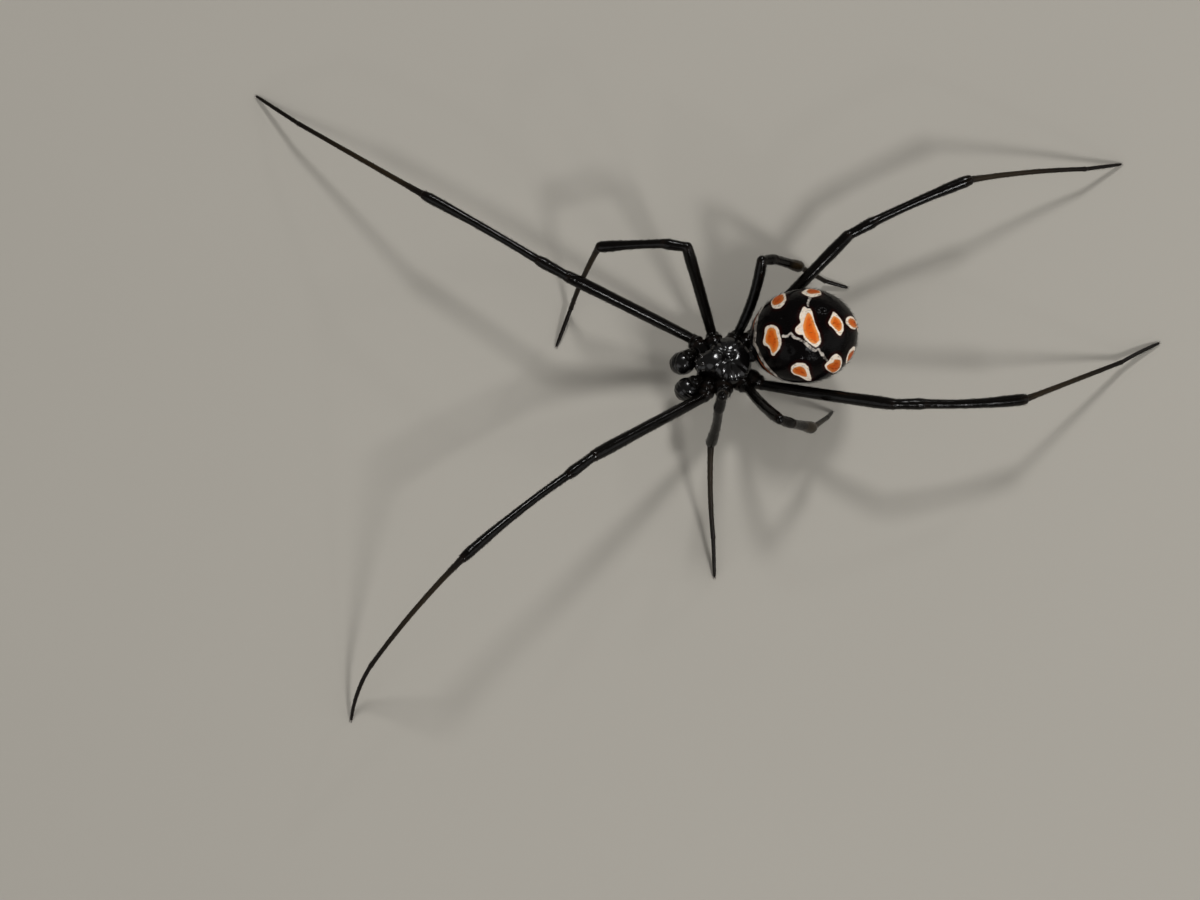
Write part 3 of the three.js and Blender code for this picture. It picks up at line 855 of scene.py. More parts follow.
def outline_distance(points, outline, reach=0.5):
    """Distance in millimetres outside a closed outline drawn over the abdomen, negative inside it."""
    stops = np.array([on_abdomen(angle, station)[0] for angle, station in outline])
    middle = stops.mean(axis=0)
    rays = stops - middle
    outward = unit(np.cross(rays, np.roll(rays, -1, axis=0)).sum(axis=0))
    one = unit(rays[0] - outward * (rays[0] @ outward))
    plane = np.stack([one, np.cross(outward, one)], axis=1)
    away = np.linalg.norm(points - middle, axis=1)
    widest = np.linalg.norm(rays, axis=1).max()
    near = away < widest + reach
    flat = (points[near] - middle) @ plane
    start = closed_curve(rays @ plane)
    end = np.roll(start, -1, axis=0)
    step = end - start
    off = flat[:, None] - start
    share = np.clip((off * step).sum(axis=2) / (step * step).sum(axis=1), 0, 1)
    gap = np.linalg.norm(off - share[..., None] * step, axis=2).min(axis=1)
    level = flat[:, None, 1]
    spans = (start[:, 1] > level) != (end[:, 1] > level)
    rise = np.where(step[:, 1] == 0, 1e-9, step[:, 1])
    crossing = start[:, 0] + (level - start[:, 1]) * step[:, 0] / rise
    inside = (spans & (flat[:, None, 0] < crossing)).sum(axis=1) % 2 == 1
    distance = away - widest
    distance[near] = np.where(inside, -gap, gap)
    return distance


def line_distance(points, stops, radius, tapers=(0.0, 0.0)):
    """Distance outside a line of that half width drawn over the abdomen through stops (angle, station).

    Tapers are the shares of the line over which its start and its end narrow to a point."""
    stops = np.array(stops, float)
    fine = np.linspace(0, len(stops) - 1, 12 * (len(stops) - 1) + 1)
    angles = np.interp(fine, np.arange(len(stops)), stops[:, 0])
    stations = np.interp(fine, np.arange(len(stops)), stops[:, 1])
    path = np.array([on_abdomen(angle, station)[0] for angle, station in zip(angles, stations)])
    best = np.full(len(points), 9.0)
    done = (np.arange(len(path) - 1) + 0.5) / (len(path) - 1)
    girths = radius * smooth(-1e-6, tapers[0], done) * smooth(-1e-6, tapers[1], 1 - done)
    for start, end, girth in zip(path[:-1], path[1:], girths):
        step = end - start
        share = np.clip((points - start) @ step / (step @ step), 0, 1)
        best = np.minimum(best, np.linalg.norm(points - start - share[:, None] * step, axis=1) - girth)
    return best


def edge_distance(points, edge):
    """Distance outside a line that runs alike down both sides of the midline."""
    sides = []
    for side in (-1, 1):
        stops = [(MIDLINE + side * angle, station) for angle, station in edge["stops"]]
        sides.append(line_distance(points, stops, edge["half"], edge["tapers"]))
    return np.minimum.reduce(sides)


def abdomen_shell():
    shell = ball(300, 230, abdomen_place)
    points = shell.points
    height = 0.02 * wander(points, 0.9, 5.0) + 0.006 * wander(points, 3.2, 9.0)
    for angle, station, width, depth in DIMPLES:
        away = np.linalg.norm(points - on_abdomen(angle, station)[0], axis=1)
        height -= depth * np.exp(-((away / width) ** 2))
    fold = line_distance(points, BELLY_FOLD["stops"], 0.0)
    height -= BELLY_FOLD["depth"] * np.exp(-((fold / BELLY_FOLD["width"]) ** 2))
    return shell.raised(height)


# Legs


def heading_vector(side, heading, pitch):
    turn, rise = math.radians(heading), math.radians(pitch)
    return Vector((side * math.cos(turn) * math.cos(rise), math.sin(turn) * math.cos(rise), math.sin(rise)))


def leg_line(name):
    """The bars of one leg from its coxa out: segment, start, direction, length, radius and bow."""
    pair, side = LEG_PAIRS[name[3]], SIDES[name[5:]]
    girths = LEG_GIRTHS[name[3]]
    femur, tibia, metatarsus, tarsus_heading = LEG_POSES[name]
    ways = {
        "femur": heading_vector(side, *femur),
        "tibia": heading_vector(side, *tibia),
        "metatarsus": heading_vector(side, *metatarsus),
    }
    ways["patella"] = ways["femur"].lerp(ways["tibia"], PATELLA_FOLLOWS_TIBIA).normalized()
    root, hip = (FRONT_BODY @ Vector((side * x, y, z)) for x, y, z in (pair["root"], pair["hip"]))
    knuckle = root.lerp(hip, KNUCKLE)
    way = (hip - root).normalized()
    bars = [
        ("coxa", root, way, (knuckle - root).length, girths["coxa"], 0),
        ("trochanter", knuckle, way, (hip - knuckle).length, girths["trochanter"], 0),
    ]
    start = hip
    for segment, length in zip(SEGMENTS, pair["lengths"]):
        if segment == "tarsus":
            drop = math.degrees(math.asin((TOE_HEIGHT - start.z) / length))
            ways["tarsus"] = heading_vector(side, tarsus_heading, drop)
        bow = LEG_BOWS[name].get(segment, 0)
        bars.append((segment, start, ways[segment], length, girths[segment], bow))
        start = start + ways[segment] * length
    return bars


def upright(way):
    """The direction square to way that is as near to up as it can be."""
    across = np.cross(np.array(way), (0, 0, 1))
    return unit(np.cross(unit(across), np.array(way)))


def bar_centres(bar, along):
    """Points of a bar's axis at those distances from its start, with its bow."""
    segment, start, way, length, _, bow = bar
    share = np.clip(along / length, 0, 1)
    arch = 4 * share * (1 - share)
    over = upright(way)
    across = np.cross(np.array(way), over)
    lift = FEMUR_BOW * length if segment == "femur" else 0
    straight = np.array(start) + along[:, None] * np.array(way)
    return straight + (bow * arch)[:, None] * across + (lift * arch)[:, None] * over


def bar_shell(bar, spacing=0.11, sides=20):
    segment, _, way, length, radius, _ = bar
    along, radii = rounded_profile(length, radius, PROFILES[segment], spacing)
    return tube(bar_centres(bar, along), radii, sides, over=upright(way), flat=0.95)


def joint_ball(bar, share=0.93):
    """The soft skin where a bar begins."""
    _, start, _, _, radius, _ = bar
    return egg(start, [radius * share] * 3, 18, 12)


def mark_leg(mesh, bars, total, before):
    """Writes on a leg's skin its joints, the way its bristles lie and how far out each point is."""
    points = points_of(mesh)
    best = np.full(len(points), 99.0)
    lie = np.zeros_like(points)
    joint = np.zeros(len(points))
    distance = np.zeros(len(points))
    around = np.zeros(len(points))
    done = before
    for bar in bars:
        segment, start, way, length, radius, _ = bar
        axis, over = np.array(way), upright(way)
        along = (points - np.array(start)) @ axis
        held = np.clip(along, 0, length)
        off = points - bar_centres(bar, held)
        away = np.linalg.norm(off, axis=1) - radius * eased(PROFILES[segment], held / length)
        closer = away < best
        best = np.where(closer, away, best)
        lie = np.where(closer[:, None], axis, lie)
        ends = np.minimum(np.abs(along), np.abs(length - along))
        joint = np.where(closer, np.exp(-((ends / 0.07) ** 2)), joint)
        distance = np.where(closer, done + held, distance)
        turn = np.arctan2(off @ np.cross(axis, over), off @ over) / (2 * math.pi) + 0.5
        around = np.where(closer, turn, around)
        done += length
    write_value(mesh, "joint", joint)
    write_value(mesh, "outward", distance / total)
    write_value(mesh, "hairy", np.clip(1 - 2 * joint, 0, 1) * smooth(0.02, 0.08, distance / total))
    write_vector(mesh, "lie", lie)
    write_map(mesh, around % 1.0, distance / total)


def leg_skins(name):
    bars = leg_line(name)
    total = sum(bar[3] for bar in bars)
    for part, slot, finish, own in (
        ("upper", "limb", "leg", bars[:5]),
        ("lower", "shin", "outer_leg", bars[5:]),
    ):
        shells = [bar_shell(bar) for bar in own] + [joint_ball(bar) for bar in own[1:]]
        mesh = fused(f"{name}_{part}_skin", shells)
        mark_leg(mesh, own, total, 0 if part == "upper" else sum(bar[3] for bar in bars[:5]))
        set_points(mesh, (points_of(mesh) + SHIFT) * MM)
        nodes = [f"{name}_{segment}" for segment in (SEGMENTS[:3] if part == "upper" else SEGMENTS[3:])]
        add_piece(mesh, finishes()[finish], nodes)


def kept_off_floor(shells):
    for shell in shells:
        shell.points[:, 2] = np.maximum(shell.points[:, 2], FLOOR_CLEARANCE)
    return shells


def claw_shells(name):
    """Two toothed claws and a small middle one at the end of a leg."""
    _, start, way, tarsus, _, _ = leg_line(name)[-1]
    tip = np.array(start + way * (tarsus + 0.01))
    ahead = unit(np.array([way.x, way.y, way.z * 0.35]))
    across = unit(np.cross(ahead, (0, 0, 1)))
    down = np.array([0, 0, -1.0])
    shells = []
    for side in (-1, 1):
        way_out = unit(ahead + side * CLAW["spread"] * across + 0.1 * -down)
        root = tip + side * CLAW["apart"] * across + CLAW["lift"] * -down
        shells.append(curved_spike(root, way_out, down, CLAW["length"], CLAW["radius"], bend=CLAW["bend"]))
        for i in range(CLAW["teeth"]):
            share = 0.2 + 0.14 * i
            spot = root + CLAW["length"] * (share * way_out + CLAW["bend"] * share**2 * down)
            tooth_way = unit(down + 0.5 * ahead)
            length, radius = CLAW_TOOTH["length"], CLAW_TOOTH["radius"]
            shells.append(curved_spike(spot, tooth_way, ahead, length, radius, sides=4, steps=2))
    shells.append(curved_spike(tip - 0.01 * ahead, unit(ahead + 0.5 * down), down, 0.06, 0.01, bend=0.6))
    return kept_off_floor(shells)


def comb_shells(name):
    """The comb of curved, toothed bristles under the last segment of a hind leg."""
    _, start, way, length, radius, _ = leg_line(name)[-1]
    axis, over = np.array(way), upright(way)
    across = unit(np.cross(axis, over))
    shells = []
    for i in range(COMB["bristles"]):
        share = COMB["first"] + COMB["step"] * i
        side = 0.5 + 0.06 * (i % 2)
        skin = radius * float(eased(PROFILES["tarsus"], np.array([share]))[0])
        root = np.array(start) + axis * length * share + (-over * 0.85 + across * side) * skin * 0.8
        out = unit(-over * 0.5 + across * 0.5 + axis * 0.75)
        reach = COMB["length"] - COMB["shorter"] * i
        shells.append(curved_spike(root, out, axis, reach, COMB["radius"], bend=0.5))
    return kept_off_floor(shells)


# Head, mouthparts and spinnerets


def bulb_shell(side_name):
    """The ripe palp bulb: a coiled duct on its face, and the hairy cup that holds it from behind."""
    middle = np.array(PALPS[side_name]["bulb"])
    side = SIDES[side_name]
    face = unit(np.array([side * 0.35, -0.75, -0.55]))
    level = unit(np.cross(face, (0, 0, 1)))
    over = np.cross(level, face)
    shell = egg(middle, (BULB_RADIUS, BULB_LENGTH, BULB_RADIUS), 120, 90)
    ray = unit(shell.points - middle)
    polar = np.degrees(np.arccos(np.clip(ray @ face, -1, 1)))
    turn = np.degrees(np.arctan2(ray @ over, ray @ level))
    coil = np.cos(np.radians((polar / COIL["spacing"]) * 360 - turn)) ** 3
    ridge = COIL["height"] * coil * smooth(8, 18, polar) * (1 - smooth(68, 80, polar))
    furrow = CUP["height"] * np.exp(-(((polar - CUP["edge"]) / 4) ** 2))
    cup = CUP["height"] * smooth(CUP["edge"], CUP["edge"] + 10, polar) - furrow
    shell.raised(ridge + cup + 0.01 * wander(shell.points, 4.0, 2.0))
    return shell.moved(FRONT_BODY)


def embolus_shell(side_name):
    """The fine dark duct whose tip stands clear of the bulb."""
    middle = np.array(PALPS[side_name]["bulb"])
    side = SIDES[side_name]
    count = 34
    turn = np.radians(np.linspace(200, 470, count))
    radius = np.linspace(0.2, 0.27, count)
    x = middle[0] + side * (0.12 + radius * np.cos(turn) * 0.85)
    z = middle[2] - 0.14 + radius * np.sin(turn) * 0.8
    flat = 1 - ((x - middle[0]) / BULB_RADIUS) ** 2 - ((z - middle[2]) / BULB_RADIUS) ** 2
    y = middle[1] - BULB_LENGTH * np.sqrt(np.clip(flat, 0.02, 1))
    centres = np.stack([x, y - 0.012, z], axis=-1)
    thickness = 0.02 * (1 - np.linspace(0, 1, count) ** 2 * 0.85)
    return tube(centres, thickness, 8, over=(0, -1, 0)).moved(FRONT_BODY)


def palp_shells(side_name):
    stalk = [Vector(spot) for spot in PALPS[side_name]["stalk"]]
    tables = (
        (0.17, ((0, 0.8), (0.4, 1.0), (1, 0.95))),
        (0.28, ((0, 0.7), (0.5, 1.0), (1, 1.12))),
    )
    shells = []
    for (start, end), (radius, table) in zip(zip(stalk[:-1], stalk[1:]), tables):
        way = (end - start).normalized()
        along, radii = rounded_profile((end - start).length, radius, table, 0.04)
        centres = np.array(start) + along[:, None] * np.array(way)
        shells.append(tube(centres, radii, 20, over=upright(way)))
    shells.append(egg(stalk[1], [PALP_KNUCKLE] * 3, 18, 12))
    return [shell.moved(FRONT_BODY) for shell in shells]


def chelicera_shells(side_name):
    """The jaw's stout base and its curved fang."""
    side = SIDES[side_name]
    top = np.array([side * CHELICERA["x"], CHELICERA["y"], CHELICERA["top"]])
    foot = np.array([side * (CHELICERA["x"] + 0.01), CHELICERA["y"] - 0.03, CHELICERA["bottom"]])
    step = foot - top
    table = ((0, 0.92), (0.35, 1.04), (0.8, 0.86), (1, 0.66))
    along, radii = rounded_profile(np.linalg.norm(step), CHELICERA["radius"], table, 0.035, end_depth=0.8)
    base = tube(top + along[:, None] * unit(step), radii, 28, over=(0, -1, 0))
    way = unit(np.array([-side * 0.05, -0.25, -1.0]))
    inward = np.array([-side * 0.35, 1.0, -0.1])
    root = foot + (0, 0, FANG["inside"])
    fang = curved_spike(
        root, way, inward, CHELICERA["fang"], FANG["radius"], sides=14, steps=14, bend=FANG["bend"]
    )
    return base.moved(FRONT_BODY), fang.moved(FRONT_BODY)


def mouth_shells():
    """The lip and the two lobes beside it, under the jaws."""
    (x, y, z), sizes = LOBE
    rows = [LIP, *(((side * x, y, z), sizes) for side in SIDES.values())]
    return [egg(middle, sizes, 28, 20).moved(FRONT_BODY) for middle, sizes in rows]


def pedicel_shell():
    start, end = np.array(PEDICEL["from"]), np.array(PEDICEL["to"])
    shares = np.linspace(-0.2, 1.1, 40)
    centres = start + shares[:, None] * (end - start)
    radii = PEDICEL["radius"] * (0.92 + 0.05 * np.cos(shares * 2 * math.pi * 5))
    return tube(centres, radii, 28)


def spinneret_shells():
    """Three pairs of spinnerets round a small middle one, and the lobe behind them."""
    lean = math.radians(SPINNERETS["lean"])
    out = np.array([0, math.cos(lean), -math.sin(lean)])
    across = np.array([0, math.sin(lean), math.cos(lean)])
    middle = np.array([0, SPINNERETS["y"], SPINNERETS["z"]])
    spread, length, radius = SPINNERETS["spread"], SPINNERETS["length"], SPINNERETS["radius"]
    rows = ((0.5, 0.55, 0.95, 0.72), (0.5, -0.65, 0.86, 0.66), (0.22, -0.02, 0.7, 0.42))
    table = ((0, 1.0), (0.3, 0.98), (0.34, 0.86), (0.75, 0.72), (0.8, 0.56), (1, 0.36))
    shells = []
    for sideways, upward, reach, girth in rows:
        for side in (-1, 1):
            centre = middle + across * upward * spread * 0.6 + np.array([side * sideways * spread, 0, 0])
            start = centre - out * length * 0.6
            full = length * (0.6 + reach)
            along, radii = rounded_profile(full, radius * girth, table, 0.025, end_depth=0.5)
            tilt = unit(out + np.array([side * 0.06, 0, 0]))
            shells.append(tube(start + along[:, None] * tilt, radii, 22, over=across))
    lobe = middle + across * 0.3 + out * 0.05
    shells.append(egg(lobe, (0.13, 0.14, 0.12), 24, 16))
    return [shell.moved(HIND_BODY) for shell in shells]


# Materials


def wire(tree, kind, inputs=None, **settings):
    """Adds a node, with its settings and its inputs, which are values or the outputs of other nodes."""
    node = tree.nodes.new(kind)
    for name, value in settings.items():
        setattr(node, name, value)
    for key, value in (inputs or {}).items():
        socket = node.inputs[key]
        if isinstance(value, bpy.types.NodeSocket):
            tree.links.new(value, socket)
        else:
            socket.default_value = value
    return node


def maths(tree, operation, *values, clamp=False):
    inputs = dict(enumerate(values))
    return wire(tree, "ShaderNodeMath", inputs, operation=operation, use_clamp=clamp).outputs[0]


def step_up(tree, value, low, high):
    """0 below low, 1 above high, and smooth between them."""
    node = wire(tree, "ShaderNodeMapRange", {"Value": value, "From Min": low, "From Max": high},
                interpolation_type="SMOOTHSTEP")
    return node.outputs["Result"]


def blended(tree, factor, first, second):
    """A mix of two colours, each a row of three numbers or the output of another node."""
    first, second = (
        value if isinstance(value, bpy.types.NodeSocket) else (*value, 1) for value in (first, second)
    )
    return wire(tree, "ShaderNodeMix", {0: factor, 6: first, 7: second}, data_type="RGBA").outputs[2]


def shader_group(name, inputs, outputs):
    """An empty shader node group with those sockets, and its two end nodes."""
    group = bpy.data.node_groups.new(name, "ShaderNodeTree")
    kinds = {"value": "NodeSocketFloat", "colour": "NodeSocketColor", "vector": "NodeSocketVector"}
    for label, kind in inputs:
        group.interface.new_socket(name=label, in_out="INPUT", socket_type=kinds[kind])
    for label, kind in outputs:
        group.interface.new_socket(name=label, in_out="OUTPUT", socket_type=kinds[kind])
    return group, group.nodes.new("NodeGroupInput").outputs, group.nodes.new("NodeGroupOutput").inputs


def noise_in(tree, vector, scale, detail=2.0, roughness=0.5):
    inputs = {"Vector": vector, "Scale": scale, "Detail": detail, "Roughness": roughness}
    return wire(tree, "ShaderNodeTexNoise", inputs).outputs["Fac"]


def cuticle_group():
    """Grain, broad unevenness and a patchy gloss for hard black cuticle."""
    amounts = ("Grain", "Waviness", "Roughness", "Patchiness")
    group, given, made = shader_group(
        "Cuticle",
        [("Vector", "vector"), *((name, "value") for name in amounts)],
        [("Height", "value"), ("Roughness", "value"), ("Tint", "value")],
    )
    pores = wire(group, "ShaderNodeTexVoronoi", {"Vector": given["Vector"], "Scale": 26000.0}, feature="F1")
    pore = maths(group, "SUBTRACT", 1.0, pores.outputs["Distance"])
    fine = noise_in(group, given["Vector"], 60000.0, 3.0)
    broad = noise_in(group, given["Vector"], 3600.0, 2.0)
    grain = maths(group, "MULTIPLY", maths(group, "ADD", pore, fine), given["Grain"])
    wave = maths(group, "MULTIPLY", broad, given["Waviness"])
    group.links.new(maths(group, "ADD", grain, wave), made["Height"])
    patches = noise_in(group, given["Vector"], 2600.0, 4.0, 0.6)
    swing = maths(group, "MULTIPLY", maths(group, "SUBTRACT", patches, 0.5), given["Patchiness"])
    group.links.new(maths(group, "ADD", given["Roughness"], swing, clamp=True), made["Roughness"])
    group.links.new(patches, made["Tint"])
    return group


MARKS = ("spot", "core", "dusk", "streak", "front_edge", "rusty_edge", "belly")
MARK_COLOURS = ("ground", "core colour", "margin colour", "streak colour", "belly colour")


def tint(name):
    return rgb(TINTS[name])


def marking_group():
    """Colours of the spots, streaks and belly marks from the distance to each outline, in millimetres."""
    values = [(name, "value") for name in MARKS]
    colours = [(name, "colour") for name in MARK_COLOURS]
    group, given, made = shader_group(
        "Markings",
        [*values, ("vector", "vector"), ("raggedness", "value"), *colours],
        [("Color", "colour"), ("Paint", "value")],
    )
    ragged = noise_in(group, given["vector"], 5200.0, 3.0, 0.6)
    speck = noise_in(group, given["vector"], 24000.0, 2.0, 0.6)
    swing = maths(group, "MULTIPLY", maths(group, "SUBTRACT", ragged, 0.5), given["raggedness"])
    fine_swing = maths(group, "MULTIPLY", maths(group, "SUBTRACT", speck, 0.5), 0.04)
    jitter = maths(group, "ADD", swing, fine_swing)

    def inside(distance, reach=0.014, wobble=1.0):
        moved = maths(group, "ADD", distance, maths(group, "MULTIPLY", jitter, wobble))
        return step_up(group, moved, reach, -reach)

    spot = inside(given["spot"])
    core = inside(maths(group, "SUBTRACT", given["core"], 0.032), 0.022)
    deep = step_up(group, given["core"], 0.02, -0.13)
    streak = inside(given["streak"], 0.018, 2.0)
    front = inside(given["front_edge"], 0.022, 0.6)
    rusty = inside(given["rusty_edge"], 0.02, 0.8)
    belly = inside(given["belly"])
    glow = step_up(group, given["spot"], 0.2, 0.0)

    haloed = blended(group, maths(group, "MULTIPLY", glow, 0.55), given["ground"], tint("halo"))
    warm = blended(group, deep, tint("core edge"), given["core colour"])
    # Painted shade: the cores of spots that face away from the light are darkened towards a dark red-brown.
    shaded_core = blended(group, maths(group, "MULTIPLY", given["dusk"], 0.8), warm, tint("dusk"))
    mottled = blended(group, maths(group, "MULTIPLY", speck, 0.3), shaded_core, tint("mottle"))
    margin = blended(group, step_up(group, speck, 0.3, 0.6), given["margin colour"], tint("margin"))
    painted = blended(group, core, margin, mottled)
    pale = blended(group, step_up(group, ragged, 0.42, 0.62), given["streak colour"], tint("pale line"))
    colour = blended(group, maths(group, "MULTIPLY", rusty, 0.8), haloed, tint("rusty line"))
    colour = blended(group, maths(group, "MAXIMUM", streak, front), colour, pale)
    colour = blended(group, spot, colour, painted)
    colour = blended(group, belly, colour, given["belly colour"])
    group.links.new(colour, made["Color"])
    lines = maths(group, "MAXIMUM", maths(group, "MAXIMUM", streak, front), rusty)
    group.links.new(maths(group, "MAXIMUM", maths(group, "MAXIMUM", spot, belly), lines), made["Paint"])
    return group


def principled(name, **values):
    """A material with a Principled shader, its tree, the shader and the object coordinates."""
    material = bpy.data.materials.new(name)
    material.use_nodes = True
    tree = material.node_tree
    shader = tree.nodes["Principled BSDF"]
    for label, value in values.items():
        shader.inputs[label.replace("_", " ")].default_value = value
    place = tree.nodes.new("ShaderNodeTexCoord").outputs["Object"]
    return material, tree, shader, place


def attribute_of(tree, name):
    return wire(tree, "ShaderNodeAttribute", attribute_name=name).outputs["Fac"]


def add_cuticle(tree, shader, place, groups, settings, roughness, patchiness=0.1, grain=1.0, wave=1.0):
    """Wires the cuticle's bumps and gloss into a shader and gives back its patchy tint."""
    inputs = {
        "Vector": place, "Grain": settings.grain * grain, "Waviness": settings.waviness * wave,
        "Roughness": roughness, "Patchiness": patchiness,
    }
    node = wire(tree, "ShaderNodeGroup", inputs, node_tree=groups["cuticle"])
    bump = wire(tree, "ShaderNodeBump", {"Height": node.outputs["Height"], "Distance": 1.0})
    tree.links.new(bump.outputs["Normal"], shader.inputs["Normal"])
    tree.links.new(node.outputs["Roughness"], shader.inputs["Roughness"])
    return node.outputs["Tint"]


def shell_finish(groups, cuticle):
    material, tree, shader, place = principled("Black shell", IOR=1.5)
    patchy = add_cuticle(tree, shader, place, groups, cuticle, roughness=0.18, grain=0.08, wave=0.2)
    tree.links.new(blended(tree, patchy, tuple(cuticle.shell), rgb("0c0908")), shader.inputs["Base Color"])
    return material


def leg_finish(groups, cuticle, name, colour, roughness):
    material, tree, shader, place = principled(name, IOR=1.27)
    patchy = add_cuticle(tree, shader, place, groups, cuticle, roughness, grain=0.7, wave=0.8)
    worn = blended(tree, maths(tree, "MULTIPLY", patchy, 0.5), tuple(colour), rgb("0e0906"))
    out = step_up(tree, attribute_of(tree, "outward"), 0.6, 0.66)
    back = step_up(tree, attribute_of(tree, "outward"), 0.9, 0.7)
    shin = maths(tree, "MULTIPLY", maths(tree, "MULTIPLY", out, back), 0.7)
    far = blended(tree, shin, worn, rgb("2e2416"))
    skin = blended(tree, attribute_of(tree, "joint"), far, tuple(cuticle.joint))
    tree.links.new(skin, shader.inputs["Base Color"])
    return material


def hide_finish(groups, cuticle, markings):
    material, tree, shader, place = principled("Marked hide", IOR=1.17)
    node = wire(tree, "ShaderNodeGroup", node_tree=groups["markings"])
    for name in MARKS:
        tree.links.new(attribute_of(tree, name), node.inputs[name])
    tree.links.new(place, node.inputs["vector"])
    node.inputs["raggedness"].default_value = markings.raggedness / MM
    colours = (cuticle.hide, markings.core, markings.rim, markings.streak, markings.belly)
    for label, colour in zip(MARK_COLOURS, colours):
        node.inputs[label].default_value = (*colour, 1)
    duller = maths(tree, "ADD", 0.14, maths(tree, "MULTIPLY", node.outputs["Paint"], 0.3))
    add_cuticle(tree, shader, place, groups, cuticle, duller, grain=0.9, wave=0.7)
    tree.links.new(node.outputs["Color"], shader.inputs["Base Color"])
    return material


def eye_finish():
    looks = {"IOR": 1.5, "Roughness": 0.05, "Coat_Weight": 1.0, "Coat_Roughness": 0.02}
    material, tree, shader, place = principled("Eye", **looks)
    cloud = noise_in(tree, place, 9000.0)
    tree.links.new(blended(tree, cloud, rgb("060505"), rgb("1c120c")), shader.inputs["Base Color"])
    return material


def fang_finish():
    material, tree, shader, place = principled("Fang", IOR=1.56, Roughness=0.18, Coat_Weight=0.6)
    shade = noise_in(tree, place, 7000.0)
    tree.links.new(blended(tree, shade, rgb("1a0805"), rgb("3c140a")), shader.inputs["Base Color"])
    return material


def bristle_finish():
    material, tree, shader, place = principled("Bristle", IOR=1.4, Roughness=0.5, Specular_IOR_Level=0.12)
    shade = noise_in(tree, place, 4000.0)
    tree.links.new(blended(tree, shade, rgb("030202"), rgb("0c0805")), shader.inputs["Base Color"])
    return material


_made = {}


def finishes():
    """The model's materials by name, made the first time they are asked for."""
    if _made:
        return _made
    cuticle, markings = bpy.context.scene.spider_cuticle, bpy.context.scene.spider_markings
    groups = {"cuticle": cuticle_group(), "markings": marking_group()}
    _made["shell"] = shell_finish(groups, cuticle)
    _made["leg"] = leg_finish(groups, cuticle, "Leg cuticle", cuticle.limb, 0.15)
    _made["outer_leg"] = leg_finish(groups, cuticle, "Outer leg cuticle", cuticle.shin, 0.34)
    _made["hide"] = hide_finish(groups, cuticle, markings)
    _made["eye"] = eye_finish()
    _made["fang"] = fang_finish()
    _made["bristle"] = bristle_finish()
    return _made


# Bristles


def bristle_mesh():
    """One curved bristle a unit long, and where each of its points goes in its small patch of the map."""
    spike = curved_spike((0, 0, -0.08), (0, 0, 1), (1, 0, 0), 1.0, 0.034, sides=3, steps=3, bend=0.34)
    mesh = mesh_of("bristle", [spike], scale=1.0, shift=False)
    layer = mesh.uv_layers["skin_map"]
    mesh.uv_layers.remove(layer)
    patch = np.stack([spike.around - 0.5, spike.along - 0.5, np.zeros(len(spike.along))], axis=-1) * 0.003
    write_vector(mesh, "patch", patch)
    return mesh


def enabled(sockets, name):
    return next(socket for socket in sockets if socket.enabled and socket.name == name)


